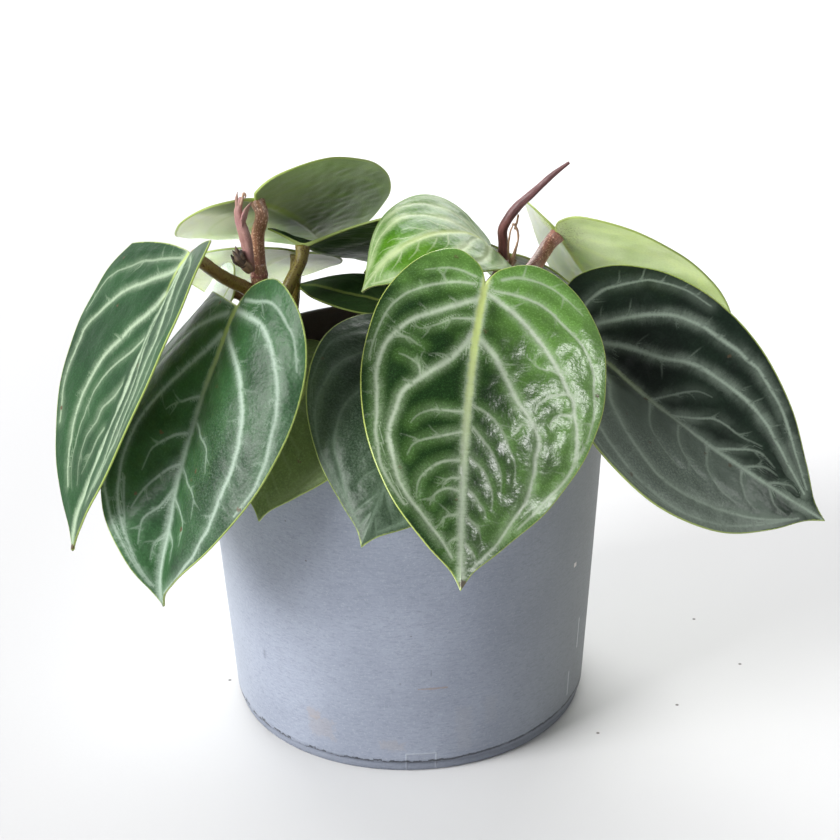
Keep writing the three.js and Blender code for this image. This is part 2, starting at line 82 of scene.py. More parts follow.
# Veins over the flat leaf: along the midrib over its length, out to the side over the half width.
TEMPLATE = [
    [(.1, .05), (.2, .22), (.3, .4), (.4, .53), (.5, .59), (.6, .57), (.7, .48), (.8, .33), (.87, .2), (.92, .08)],
    [(.03, .08), (.08, .3), (.15, .53), (.24, .71), (.34, .8), (.45, .83), (.56, .78), (.66, .67), (.76, .48),
     (.85, .27), (.92, .1)],
    [(0, .08), (0, .3), (.03, .55), (.09, .76), (.17, .88), (.27, .93), (.38, .93), (.5, .87), (.6, .77)],
    [(-.03, .08), (-.06, .25), (-.06, .45), (-.03, .62), (.02, .76)],
]
ARCS = {
    "leaf_front": {1: [
        [(.2, .03), (.235, .12), (.28, .2), (.38, .33), (.44, .44), (.5, .52), (.6, .51), (.7, .46), (.78, .35),
         (.85, .26), (.895, .16), (.93, .08)],
        [(.03, .05), (.05, .13), (.085, .26), (.135, .4), (.2, .55), (.265, .66), (.345, .75), (.425, .8),
         (.52, .82), (.6, .77), (.7, .6), (.8, .4)],
        [(.01, .07), (.005, .26), (.02, .44), (.06, .58), (.11, .73), (.165, .84), (.235, .9), (.33, .92),
         (.45, .9), (.57, .8)],
        [(-.04, .11), (-.065, .22), (-.07, .4), (-.045, .58), (0, .73)],
    ], -1: [
        [(.18, .03), (.22, .08), (.295, .24), (.35, .43), (.4, .58), (.475, .65), (.54, .67), (.62, .62), (.7, .53),
         (.78, .34), (.85, .17), (.9, .08)],
        [(.05, .03), (.06, .05), (.11, .33), (.17, .62), (.245, .79), (.345, .84), (.44, .8), (.55, .78), (.65, .7),
         (.75, .5)],
        [(0, .1), (.01, .34), (.05, .62), (.11, .81), (.2, .9), (.3, .93)],
        [(-.03, .1), (-.05, .33), (-.03, .57)],
    ]},
    "leaf_front_left": {1: [
        [(.08, .03), (.1, .08), (.165, .33), (.245, .5), (.33, .6), (.44, .64), (.56, .62), (.65, .58), (.75, .5),
         (.83, .37), (.88, .25), (.93, .1)],
        [(.01, .05), (.01, .2), (.02, .41), (.085, .62), (.18, .78), (.3, .87), (.4, .9), (.5, .88), (.58, .82)],
        [(-.03, .08), (-.04, .2), (-.055, .41), (-.02, .62), (.02, .74), (.1, .86)],
    ]},
    "leaf_right": {1: [
        [(.08, .05), (.12, .14), (.2, .26), (.29, .36), (.365, .46), (.46, .49), (.555, .48), (.65, .44), (.74, .34),
         (.82, .22), (.9, .1)],
        [(.03, .06), (.05, .22), (.1, .42), (.16, .58), (.23, .7), (.32, .76), (.415, .77), (.51, .76), (.6, .7),
         (.68, .6), (.76, .46), (.83, .3), (.9, .14)],
        [(-.01, .08), (-.03, .28), (-.02, .5), (.03, .7), (.1, .84), (.185, .91), (.29, .93)],
    ], -1: [
        [(.12, .04), (.17, .12), (.21, .2), (.23, .25), (.29, .45), (.385, .57), (.475, .61), (.57, .59), (.665, .49),
         (.74, .39), (.82, .29), (.9, .14)],
        TEMPLATE[1],
        TEMPLATE[2],
        TEMPLATE[3],
    ]},
    "leaf_far_left": {-1: [
        [(.15, .02), (.221, .08), (.297, .24), (.367, .34), (.427, .42), (.523, .48), (.618, .45), (.72, .38),
         (.82, .24)],
        [(.06, .02), (.08, .1), (.116, .29), (.191, .57), (.272, .75), (.347, .84), (.442, .84), (.55, .78),
         (.66, .66)],
        [(.02, .04), (.035, .26), (.066, .56), (.121, .78), (.176, .9), (.28, .94)],
    ], 1: [
        [(.1, .1), (.2, .2), (.3, .33), (.42, .46), (.55, .5), (.68, .44), (.8, .28)],
        [(.04, .1), (.12, .3), (.22, .5), (.34, .64), (.48, .68), (.62, .58), (.75, .4)],
        [(.02, .2), (.08, .5), (.18, .72), (.32, .82), (.46, .82), (.6, .7)],
    ]},
}
TWIGS = {
    "leaf_front": {1: [
        [(.43, .05), (.46, .18), (.52, .29), (.6, .36), (.65, .36)], [(.5, .05), (.56, .17), (.63, .26), (.69, .27)],
        [(.6, .05), (.63, .14), (.68, .2), (.74, .21)], [(.7, .05), (.735, .14), (.77, .17)],
        [(.78, .04), (.8, .11), (.84, .14)], [(.86, .03), (.88, .09), (.91, .1)],
        [(.31, .72), (.33, .58), (.38, .49), (.41, .48)], [(.38, .78), (.4, .66), (.44, .61), (.46, .61)],
        [(.26, .67), (.24, .56), (.245, .46), (.22, .38)], [(.45, .49), (.47, .38), (.5, .33)],
    ], -1: [
        [(.45, .04), (.45, .2), (.455, .32), (.475, .43), (.5, .49)],
        [(.515, .04), (.53, .2), (.555, .38), (.57, .46), (.6, .5)],
        [(.605, .04), (.62, .2), (.65, .33), (.68, .39), (.73, .4)], [(.66, .03), (.67, .12), (.69, .18)],
        [(.7, .03), (.7, .15), (.72, .25), (.745, .28)], [(.77, .03), (.785, .15), (.81, .21)],
        [(.84, .02), (.85, .09), (.875, .13)], [(.13, .04), (.14, .2), (.17, .36), (.19, .5), (.175, .56)],
        [(.36, .45), (.31, .48), (.29, .58), (.28, .66)], [(.22, .72), (.23, .58), (.25, .47)],
    ]},
    "leaf_front_left": {1: [
        [(.38, .03), (.4, .15), (.43, .3), (.5, .38)], [(.53, .03), (.55, .18), (.59, .32), (.65, .36)],
        [(.63, .03), (.66, .16), (.7, .25), (.75, .27)], [(.74, .03), (.77, .13), (.82, .17)],
    ], -1: [
        [(.3, .03), (.33, .2), (.38, .33)], [(.42, .03), (.45, .18), (.52, .33), (.58, .36)],
        [(.52, .03), (.56, .15), (.63, .28), (.7, .36)], [(.6, .03), (.67, .14), (.73, .22), (.8, .24)],
        [(.62, .5), (.7, .42), (.8, .33), (.86, .2)], [(.74, .02), (.79, .1), (.84, .12)],
    ]},
    "leaf_right": {1: [
        [(.35, .02), (.4, .18), (.445, .3), (.49, .34)], [(.43, .02), (.475, .1), (.55, .2), (.63, .22), (.71, .24)],
        [(.6, .02), (.66, .12), (.725, .16), (.78, .15)], [(.7, .02), (.75, .1), (.8, .11)],
        [(.79, .02), (.84, .09), (.88, .08)],
    ], -1: [
        [(.35, .03), (.4, .25), (.46, .35), (.54, .39)], [(.46, .03), (.5, .2), (.56, .3), (.62, .32)],
        [(.57, .03), (.615, .22), (.68, .3), (.73, .3)], [(.7, .03), (.74, .2), (.79, .24)],
        [(.8, .02), (.83, .12), (.88, .13)],
    ]},
    "leaf_far_left": {-1: [
        [(.3, -.02), (.352, .08), (.417, .22), (.508, .33), (.593, .36), (.668, .34), (.749, .29), (.82, .18)],
        [(.45, -.02), (.513, .06), (.583, .14), (.648, .19), (.724, .19), (.8, .12)],
        [(.6, .01), (.68, .08), (.76, .11)],
    ], 1: []},
}
# The midrib's half width at base and tip, and its strength there.
MIDRIB = {
    "leaf_front": (1.1, 0.9, 1, 0.9), "leaf_front_left": (0.7, 1.5, 0.55, 1), "leaf_far_left": (1.7, 1.1, 1, 0.95),
    "leaf_right": (0.8, 0.55, 0.85, 0.9), "leaf_young": (1.2, 0.7, 1, 0.9), "leaf_low_left": (0.5, 0.3, 0.6, 0.4),
}
MIDRIB_SWING = {"leaf_far_left": [(0, 0), (.12, .16), (.25, .12), (.37, .22), (.49, .27), (.64, .22),
                                  (.77, .06), (.87, 0), (1, 0)]}


# Looks of each leaf, in 0-255 display colours and flat millimetres. A pool is a soft round patch
# (out to the side, along, radius, radius beyond its soft edge). The darkening pool is painted shade, the grey
# and the flecked pools are partly painted reflection, and the pale pool of an underside is painted light
# shining through. Leaves in TOPS also have fine side veins.
TOPS = {
    "leaf_front": dict(
        deep=(18, 44, 12), bright=(106, 152, 68), silver=(216, 228, 206), lime=(180, 196, 100), gloss=0.24,
        shine=0.45, veins=1.15, halo=0.32, shade_pool=(-40, 50, 44, 78), sparkle=0.2, stripe_end=66.0,
        bruises=((0.6, 86.2, 1.5), (36.3, 25, 0.8))),
    "leaf_front_left": dict(
        deep=(22, 48, 26), bright=(44, 80, 45), silver=(166, 184, 168), gloss=0.34, shine=0.2, halo=0.25,
        soil=0.6, stripe_end=36.0, flecks_and_glint_pool=(34, 46, 22, 40), flecks_and_glint=0.12),
    "leaf_far_left": dict(
        deep=(22, 50, 26), bright=(34, 68, 36), silver=(166, 184, 156), gloss=0.4, shine=0.15, soil=0.5,
        stripe_end=20.0, bruises=((0.3, 89.6, 1.3),)),
    "leaf_right": dict(
        deep=(10, 20, 14), bright=(19, 34, 23), silver=(156, 172, 156), gloss=0.36, shine=0.22, halo=0.45,
        halo_width=5.0, haze_and_sheen_pool=(-80, 48, 76, 84), haze_and_sheen=(110, 124, 112), haze_and_sheen_share=0.6, stripe=0.35,
        flecks_and_glint_pool=(-44, 50, 30, 44), flecks_and_glint=0.35),
    "leaf_front_mid": dict(
        deep=(28, 46, 30), bright=(44, 64, 42), silver=(112, 132, 112), gloss=0.36, shine=0.25, veins=0.7,
        flecks_and_glint_pool=(0, 30, 20, 50), flecks_and_glint=0.3, halo=0.6),
    "leaf_low_left": dict(
        deep=(70, 88, 48), bright=(92, 110, 62), silver=(136, 152, 108), gloss=0.4, shine=0.25, veins=0.45,
        soil=0.9),
    "leaf_young": dict(
        deep=(50, 94, 16), bright=(84, 128, 34), silver=(190, 204, 162), lime=(176, 194, 112), gloss=0.3,
        shine=0.2, soil=0.1, halo=0.8, halo_width=4.5),
}
DARK_TOP = dict(
    deep=(20, 46, 26), bright=(34, 66, 36), silver=(110, 136, 102), gloss=0.38, shine=0.25, veins=0.5, halo=0.2)
OTHER_TOPS = {
    "leaf_rear_left": dict(
        deep=(150, 172, 130), bright=(182, 198, 162), silver=(220, 230, 208), gloss=0.4, shine=0.2, soil=0.05,
        halo=0.6, through=0.6),
    "leaf_under_left": dict(
        deep=(180, 196, 180), bright=(220, 230, 218), silver=(232, 236, 230), gloss=0.4, shine=0.2, soil=0.1,
        halo=0.6, through=0.8),
    "leaf_rear_mid": dict(
        deep=(120, 134, 114), bright=(160, 172, 154), silver=(196, 204, 190), gloss=0.4, shine=0.2, soil=0.05,
        halo=0.6, through=0.7),
    "leaf_inner": dict(
        deep=(38, 62, 34), bright=(56, 84, 46), silver=(92, 118, 74), gloss=0.4, shine=0.25, soil=0.1, veins=0.4,
        halo=0.2),
}
UNDERS = {
    "leaf_back_left": dict(
        deep=(138, 156, 108), bright=(160, 176, 130), line=(164, 186, 100), veins=0.2, streaks=0.08,
        lit_through_pool=(62, 24, 52, 62), pale=(240, 246, 228), through=0.4),
    "leaf_back_right": dict(
        deep=(200, 214, 164), bright=(214, 226, 186), line=(220, 232, 146), veins=0.2, streaks=0.08,
        lit_through_pool=(60, 20, 54, 62), pale=(232, 238, 224), crumbs=0.8),
    "leaf_back_mid": dict(
        deep=(62, 94, 48), bright=(86, 118, 62), line=(140, 170, 96), veins=0.2, streaks=0.7,
        streak=(196, 206, 188), through=0.3),
    "leaf_rear_right": dict(
        deep=(140, 160, 124), bright=(200, 212, 184), line=(214, 224, 180), veins=0.3, streaks=0.7,
        streak=(232, 238, 222), through=0.5),
}
PALE_UNDER = dict(
    deep=(216, 226, 196), bright=(230, 236, 216), line=(226, 234, 196), veins=0.25, streaks=0.4,
    streak=(240, 243, 232), through=0.8)


def catmull_rom(points, t):
    """Uniform Catmull-Rom through points at parameters t from 0 to 1."""
    points = np.asarray(points, float)
    spans = len(points) - 1
    place = spans * np.clip(t, 0, 1)
    i = np.minimum(place.astype(int), spans - 1)
    w = (place - i)[..., None]
    p0, p1 = points[np.maximum(i - 1, 0)], points[i]
    p2, p3 = points[i + 1], points[np.minimum(i + 2, spans)]
    v0, v1 = (p2 - p0) / 2, (p3 - p1) / 2
    return (2 * p1 - 2 * p2 + v0 + v1) * w**3 + (3 * p2 - 3 * p1 - 2 * v0 - v1) * w**2 + v0 * w + p1


def smoothstep(low, high, x):
    t = np.clip((x - low) / (high - low), 0, 1)
    return t * t * (3 - 2 * t)


def unit(vectors):
    return vectors / np.maximum(np.linalg.norm(vectors, axis=-1, keepdims=True), 1e-12)


def run_along(line):
    """The length of line up to each of its points."""
    return np.concatenate([[0], np.cumsum(np.linalg.norm(np.diff(line, axis=0), axis=1))])


def resampled(line, run, count):
    """count points evenly spaced along line, whose running length is run."""
    at = np.linspace(0, run[-1], count)
    return np.stack([np.interp(at, run, line[:, k]) for k in range(line.shape[1])], -1)


def tube_faces(rows, count):
    """Quads between rows of count points each, every row closed to a ring."""
    i, j = np.meshgrid(np.arange(rows - 1), np.arange(count), indexing="ij")
    k = (j + 1) % count
    quads = np.stack([i * count + j, i * count + k, (i + 1) * count + k, (i + 1) * count + j], -1)
    return quads.reshape(-1, 4).tolist()


def half_of(leaf, side):
    """Half width and lobe of the leaf's left half (side above 0) or its right half."""
    return (leaf["left"], leaf["lobes"][0]) if side > 0 else (leaf["right"], leaf["lobes"][1])


class Blade:
    """A leaf's middle surface."""

    def __init__(self, leaf, steps=60):
        self.leaf = leaf
        self.u = np.linspace(-NECK, 1, steps + 1)
        a = np.clip(self.u, 0, None)
        pitch = np.radians(leaf["pitch"] + leaf["droop"] * a + leaf["hook"] * np.clip((a - 0.8) / 0.2, 0, None)**2)
        heading = np.radians(leaf["heading"] + leaf["bend"] * a)
        roll = np.radians(leaf["roll"] + leaf["twist"] * a)[:, None]
        along = np.stack([np.cos(pitch) * np.cos(heading), np.cos(pitch) * np.sin(heading), np.sin(pitch)], -1)
        level = np.stack([-np.sin(heading), np.cos(heading), 0 * heading], -1)
        up = np.cross(along, level)
        self.side = level * np.cos(roll) + up * np.sin(roll)
        self.normal = up * np.cos(roll) - level * np.sin(roll)
        stride = leaf["length"] * (1 + NECK) / steps
        path = np.vstack([np.zeros(3), np.cumsum((along[1:] + along[:-1]) / 2 * stride, 0)])
        origin = np.array([np.interp(0, self.u, path[:, k]) for k in range(3)])
        self.path = path - origin + np.array(leaf["at"], float)

    def frame(self, u):
        return [np.stack([np.interp(u, self.u, track[:, k]) for k in range(3)], -1)
                for track in (self.path, self.side, self.normal)]

    def at(self, u, w):
        """The point at u along the midrib and w millimetres out, positive to the left."""
        leaf = self.leaf
        point, side, normal = self.frame(u)
        fold = leaf["fold"][0] + (leaf["fold"][1] - leaf["fold"][0]) * np.clip(u, 0, 1)
        fold = np.radians(fold + np.where(w > 0, leaf.get("tilt", 0), 0))
        turn = math.radians(leaf["cup"]) / np.where(w >= 0, leaf["left"], leaf["right"])
        soft = np.sqrt(w * w + CREASE**2) - CREASE
        out = np.sign(w) * (np.sin(fold + turn * abs(w)) - np.sin(fold)) / turn
        rise = (np.cos(fold) - np.cos(fold + turn * soft)) / turn
        return point + side * out[..., None] + normal * rise[..., None]

    def facing(self, u, w, reach=0.9):
        du = reach / self.leaf["length"]
        along = self.at(u + du, w) - self.at(u - du, w)
        across = self.at(u, w + reach) - self.at(u, w - reach)
        return unit(np.cross(along, across))


def flat_outline(leaf, side):
    """One half of the leaf's flat outline in millimetres: out to the side, along."""
    edge = catmull_rom(OUTLINE, np.linspace(0, 1, RIM_POINTS))
    width, lobe = half_of(leaf, side)
    u = np.where(edge[:, 0] < 0, edge[:, 0] * lobe, edge[:, 0])
    return np.stack([side * np.clip(edge[:, 1], 0, None) * width, u * leaf["length"]], -1)


# ---- veins ---------------------------------------------------------------------------------------

def half_breadth(u):
    """The outline's half width at u, over the full half width."""
    edge = catmull_rom(OUTLINE, np.linspace(0.5, 1, 60))
    return np.interp(u, edge[:, 0], edge[:, 1])


def vein_line(leaf, side, points):
    """A vein's flat line in millimetres from its control points, kept inside the margin."""
    width, lobe = half_of(leaf, side)
    points = np.array(points, float)
    rough = catmull_rom(points, np.linspace(0, 1, 12 * len(points)))
    u, v = rough[:, 0], rough[:, 1]
    v = np.minimum(v, 0.95 * np.where(u > 0.3, half_breadth(u), 1))
    u = np.where(u < 0, u * max(lobe, 0.1), u)
    line = np.stack([side * v * width, u * leaf["length"]], -1)
    run = run_along(line)
    return resampled(line, run, max(int(run[-1] / VEIN_STEP), 3))


def wavy(line, rng, size):
    """A line with a slight tremor that is nil at both ends."""
    count = len(line)
    knots = max(count // 5, 3)
    shift = np.interp(np.linspace(0, 1, count), np.linspace(0, 1, knots), rng.normal(0, size, knots))
    tangent = unit(np.gradient(line, axis=0))
    across = np.stack([-tangent[:, 1], tangent[:, 0]], -1)
    return line + across * (shift * np.sin(np.linspace(0, math.pi, count)))[:, None]


def twig(start, direction, bend, length, rng):
    """A short side vein that sets out along direction and curves by bend radians."""
    count = max(int(length / VEIN_STEP), 4)
    angle = math.atan2(direction[1], direction[0]) + bend * np.linspace(0, 1, count)
    angle = angle + rng.normal(0, 0.1, count)
    steps = np.stack([np.cos(angle), np.sin(angle)], -1) * (length / count)
    return start + np.vstack([[0, 0], np.cumsum(steps[:-1], 0)])


# Half width and strength at a vein's base and tip.
ARC_SIZES = [(0.85, 0.35, 1, 0.8), (0.8, 0.32, 0.95, 0.7), (0.5, 0.25, 0.7, 0.5), (0.42, 0.22, 0.6, 0.35)]


def veins_of(name, leaf, rng):
    """Every vein as (line, half width at each point, strength at each point)."""
    found = []
    length = leaf["length"]
    scale = length / FULL_LENGTH

    def put(line, first, last, strong, weak):
        t = np.linspace(0, 1, len(line))
        found.append((line, (first + (last - first) * t) * scale**0.5, strong + (weak - strong) * t**1.5))

    swing = np.array(MIDRIB_SWING.get(name, [(0, 0), (1, 0)]), float)
    u = np.linspace(-0.02, 0.985, 110)
    shift = np.interp(u, swing[:, 0], swing[:, 1]) * leaf["left"]
    middle = np.stack([shift, u * length], -1)
    put(middle, *MIDRIB.get(name, (0.9, 0.5, 1, 0.85)))
    fine = name in TOPS
    for side in (1, -1):
        arcs = ARCS.get(name, {}).get(side, TEMPLATE)
        for rank, points in enumerate(arcs):
            line = wavy(vein_line(leaf, side, points), rng, 0.2)
            put(line, *ARC_SIZES[rank])
            if not fine:
                continue
            # fine side veins off the arc, leaning towards the tip
            run, at = 3 + rng.uniform(0, 3), 0.0
            for k in range(3, len(line) - 3):
                at += VEIN_STEP
                if at < run:
                    continue
                at, run = 0.0, rng.uniform(3.0, 8.0) * scale
                outward = rng.random() < 0.72
                tangent = unit(line[k + 1] - line[k - 1])
                across = np.array([-tangent[1], tangent[0]])
                across = across if (across[0] * side > 0) == outward else -across
                reach = rng.uniform(2.5, 8.5) * scale * (1 - 0.45 * k / len(line))
                way = unit(tangent * rng.uniform(0.3, 0.7) + across)
                branch = twig(line[k], way, rng.normal(0, 0.35), reach, rng)
                put(branch, 0.3, 0.18, rng.uniform(0.25, 0.55), 0.03)
        twigs = TWIGS.get(name, {}).get(side)
        if twigs is None:
            starts = np.arange(0.3, 0.9, 0.115)
            sizes = 1.15 - 0.75 * (starts - 0.3) / 0.6
            twigs = [[(s, .03), (s + .04, .15 * k), (s + .09, .27 * k), (s + .14, .31 * k)]
                     for s, k in zip(starts + rng.normal(0, 0.015, len(starts)), sizes)]
        for points in twigs:
            line = wavy(vein_line(leaf, side, points), rng, 0.5)
            put(line, 0.42, 0.2, rng.uniform(0.6, 0.85), 0.25)
            if not fine:
                continue
            for _ in range(2):
                k = int(len(line) * rng.uniform(0.3, 0.75))
                if k < 2 or k > len(line) - 2:
                    continue
                tangent = unit(line[k + 1] - line[k - 1])
                across = np.array([-tangent[1], tangent[0]]) * (1 if rng.random() < 0.5 else -1)
                branch = twig(line[k], unit(tangent + across), rng.normal(0, 0.3), rng.uniform(2, 6) * scale, rng)
                put(branch, 0.26, 0.15, 0.4, 0.05)
    return found


def vein_field(flat, veins, reach=7.0):
    """For each flat point the nearest vein: offset and distance over its half width, run, width, strength."""
    count = len(flat)
    best = np.full(count, 60.0)
    offset = np.full((count, 2), 42.0)
    run, width, strength = np.zeros(count), np.full(count, 0.3), np.zeros(count)
    for line, widths, strengths in veins:
        low, high = line.min(0) - reach, line.max(0) + reach
        near = np.nonzero(np.all((flat > low) & (flat < high), axis=1))[0]
        if not len(near):
            continue
        a, b = line[:-1], line[1:]
        d = b - a
        square = np.maximum((d * d).sum(1), 1e-9)
        travelled = np.concatenate([[0], np.cumsum(np.sqrt(square))])
        for part in np.array_split(near, max(1, len(near) * len(a) // 3_000_000)):
            p = flat[part][:, None, :] - a[None]
            t = np.clip((p * d[None]).sum(2) / square[None], 0, 1)
            gap = p - t[..., None] * d[None]
            w = widths[:-1][None] + (widths[1:] - widths[:-1])[None] * t
            n = np.sqrt((gap * gap).sum(2)) / w
            k = n.argmin(1)
            rows = np.arange(len(part))
            n = n[rows, k]
            better = n < best[part]
            rows, k, hit, n = rows[better], k[better], part[better], n[better]
            best[hit] = n
            offset[hit] = gap[rows, k] / w[rows, k][:, None]
            run[hit] = travelled[k] + t[rows, k] * np.sqrt(square[k])
            width[hit] = w[rows, k]
            strength[hit] = strengths[k] + (strengths[k + 1] - strengths[k]) * t[rows, k]
    return offset, best, run, width, strength


# ---- meshes --------------------------------------------------------------------------------------

def mesh_object(name, points, faces, materials, face_slots=None, fields=None):
    """A mesh object from points in millimetres, with named vertex fields."""
    mesh = bpy.data.meshes.new(name)
    mesh.from_pydata((np.asarray(points) * MM).tolist(), [], [list(f) for f in faces])
    for field, values in (fields or {}).items():
        values = np.asarray(values, np.float32)
        kind = "FLOAT_VECTOR" if values.ndim == 2 else "FLOAT"
        layer = mesh.attributes.new(field, kind, "POINT")
        layer.data.foreach_set("vector" if values.ndim == 2 else "value", values.ravel())
    for material in materials:
        mesh.materials.append(material)
    if face_slots is not None:
        mesh.polygons.foreach_set("material_index", np.asarray(face_slots, np.int32))
    mesh.polygons.foreach_set("use_smooth", np.full(len(mesh.polygons), True))
    mesh.update()
    made = bpy.data.objects.new(name, mesh)
    bpy.context.scene.collection.objects.link(made)
    return made


def place(piece, slot, *nodes):
    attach(piece, "root")
    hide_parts(*nodes)


def lumps(points, rng, waves, size):
    """Smooth random bumps over points: a sum of random waves, about waves of them per millimetre."""
    total = np.zeros(len(points))
    terms = 14
    for _ in range(terms):
        direction = rng.normal(size=points.shape[1])
        direction *= waves * rng.uniform(0.6, 1.5) / np.linalg.norm(direction)
        total += np.sin(points @ direction * 2 * math.pi + rng.uniform(0, 2 * math.pi))
    return size * (total / math.sqrt(terms / 2))


def make_leaf(name, leaf, materials, rows, cols, seed):
    """The solid blade of leaf name, with its vein fields."""
    rng = np.random.default_rng(seed)
    blade = Blade(leaf)
    a = np.linspace(0, 1, rows + 1)
    edge = catmull_rom(OUTLINE, a)
    start = np.clip((a - FAN) / (1 - FAN), 0, None)
    c = np.linspace(-1, 1, 2 * cols + 1)
    left = c >= 0
    lobe = np.where(left, *leaf["lobes"])[None]
    width = np.where(left, leaf["left"], leaf["right"])[None]
    margin = np.where(edge[:, :1] < 0, edge[:, :1] * lobe, edge[:, :1])
    u = start[:, None] + (margin - start[:, None]) * np.abs(c)
    w = np.clip(edge[:, 1:], 0, None) * width * c
    shape = u.shape
    flat = np.stack([w.ravel(), u.ravel() * leaf["length"]], -1)
    veins = veins_of(name, leaf, rng)
    offset, near, run, wide, strong = vein_field(flat, veins)
    # with a half width of 1 the distances come out in millimetres
    main = [(line, np.ones(len(line)), strengths) for line, widths, strengths in veins if widths[0] > MAIN_VEIN]
    _, away, _, _, main_strong = vein_field(flat, main, 12)
    away = np.minimum(away, 20)
    ones = np.ones(RIM_POINTS)
    rim_gap = vein_field(flat, [(flat_outline(leaf, side), ones, ones) for side in (1, -1)], 90)[1]
    centre = blade.at(u, w).reshape(-1, 3)
    facing = blade.facing(u, w).reshape(-1, 3)
    outness = np.broadcast_to(np.abs(c)[None], shape).ravel()
    share = flat[:, 1] / leaf["length"]
    inner = smoothstep(0, 5, rim_gap)
    quilt = 0.12 * inner * smoothstep(0.3, 5.5, away)
    swell = lumps(flat, rng, 0.045, 0.16) * inner + lumps(flat, rng, 0.16, 0.05) * inner
    wave = lumps(flat[:, 1:], rng, 0.04, 0.12) * smoothstep(8, 0, rim_gap)
    thick = MID_THICKNESS + (EDGE_THICKNESS - MID_THICKNESS) * outness
    dent = 0.18 * np.exp(-(away / 0.8)**2) * inner
    middle = np.abs(flat[:, 0]) / (1.6 - 0.9 * np.clip(share, 0, 1))
    keel = 0.55 * np.exp(-middle**2) * smoothstep(1, 0.8, share)
    top = centre + facing * (thick / 2 + quilt - dent + swell + wave - 0.15)[:, None]
    under = centre - facing * (thick / 2 - 0.2 * quilt - swell - wave + keel - 0.1)[:, None]
    top, under = top.reshape(*shape, 3), under.reshape(*shape, 3)
    # the margin turns over in a small half round
    arcs = []
    for j, inward in ((-1, -2), (0, 1)):
        outward = unit(centre.reshape(*shape, 3)[:, j] - centre.reshape(*shape, 3)[:, inward])
        half = (top[:, j] - under[:, j]) / 2
        middle_line = (top[:, j] + under[:, j]) / 2 - outward * EDGE_THICKNESS * 0.45
        top[:, j], under[:, j] = middle_line + half, middle_line - half
        bow = np.linalg.norm(half, axis=1, keepdims=True)
        angles = [math.radians(x) for x in (50, 0, -50)]
        arcs.append([middle_line + outward * bow * math.cos(t) + half * math.sin(t) for t in angles])
    right_arc, left_arc = arcs
    ring = np.concatenate([
        top, np.stack(right_arc, 1), under[:, ::-1], np.stack(left_arc[::-1], 1)], axis=1)
    n = 2 * cols + 1
    source = np.concatenate([np.arange(n), [n - 1] * 3, np.arange(n)[::-1], [0] * 3])
    size = ring.shape[1]
    index = np.arange((rows + 1) * size).reshape(rows + 1, size)
    for k in range(n):  # the two halves meet behind the stalk
        index[0, k] = index[0, max(k, n - 1 - k)]
        index[0, n + 3 + k] = index[0, n + 3 + min(k, n - 1 - k)]
    for k in range(3):
        index[0, 2 * n + 3 + k] = index[0, n + 2 - k]
    index[-1, :] = index[-1, 0]
    ring[-1, 0] = blade.at(np.array([1.0]), np.array([0.0]))[0]
    faces, slots = [], []
    nxt = np.roll(np.arange(size), -1)
    slot_of = np.zeros(size, int)
    slot_of[n + 3:2 * n + 2] = 1
    quads = np.stack([index[:-1, :], index[1:, :], index[1:][:, nxt], index[:-1][:, nxt]], -1)
    for i in range(rows):
        if 0 < i < rows - 1:
            faces.extend(quads[i].tolist())
            slots.extend(slot_of.tolist())
            continue
        for k in range(size):
            face = list(dict.fromkeys(quads[i, k].tolist()))
            if len(face) > 2:
                faces.append(face)
                slots.append(slot_of[k])
    used = np.zeros((rows + 1) * size, bool)
    for face in faces:
        used[face] = True
    renumber = np.cumsum(used) - 1
    faces = [[int(renumber[v]) for v in f] for f in faces]
    take = (np.arange(rows + 1)[:, None] * n + source[None]).ravel()
    fields = {
        "flat": np.stack([flat[:, 0], flat[:, 1], np.full(len(flat), float(seed))], -1)[take][used],
        "vein": np.stack([offset[:, 0], offset[:, 1], near], -1)[take][used],
        "run": np.stack([run, wide, strong], -1)[take][used],
        "rim": rim_gap[take][used],
        "main": np.stack([away, main_strong, 0 * away], -1)[take][used],
    }
    made = name.replace("leaf_", "") + "_blade"
    return mesh_object(made, ring.reshape(-1, 3)[used], faces, materials, slots, fields)


def centripetal(points, count):
    """Evenly spaced points on the CAD's own curve through points."""
    p = np.array(points, float)
    p = np.vstack([2 * p[0] - p[1], p, 2 * p[-1] - p[-2]])
    line = []
    for i in range(1, len(p) - 2):
        x0, x1, x2, x3 = p[i - 1:i + 3]
        d0, d1, d2 = (max(np.linalg.norm(b - a)**0.5, 1e-4) for a, b in ((x0, x1), (x1, x2), (x2, x3)))
        t1 = ((x1 - x0) / d0 - (x2 - x0) / (d0 + d1) + (x2 - x1) / d1) * d1
        t2 = ((x2 - x1) / d1 - (x3 - x1) / (d1 + d2) + (x3 - x2) / d2) * d1
        t = np.linspace(0, 1, 40, endpoint=i == len(p) - 3)[:, None]
        line.append(x1 + t1 * t + (3 * x2 - 3 * x1 - 2 * t1 - t2) * t**2 + (2 * x1 - 2 * x2 + t1 + t2) * t**3)
    line = np.vstack(line)
    run = run_along(line)
    return resampled(line, run, count), run[-1]


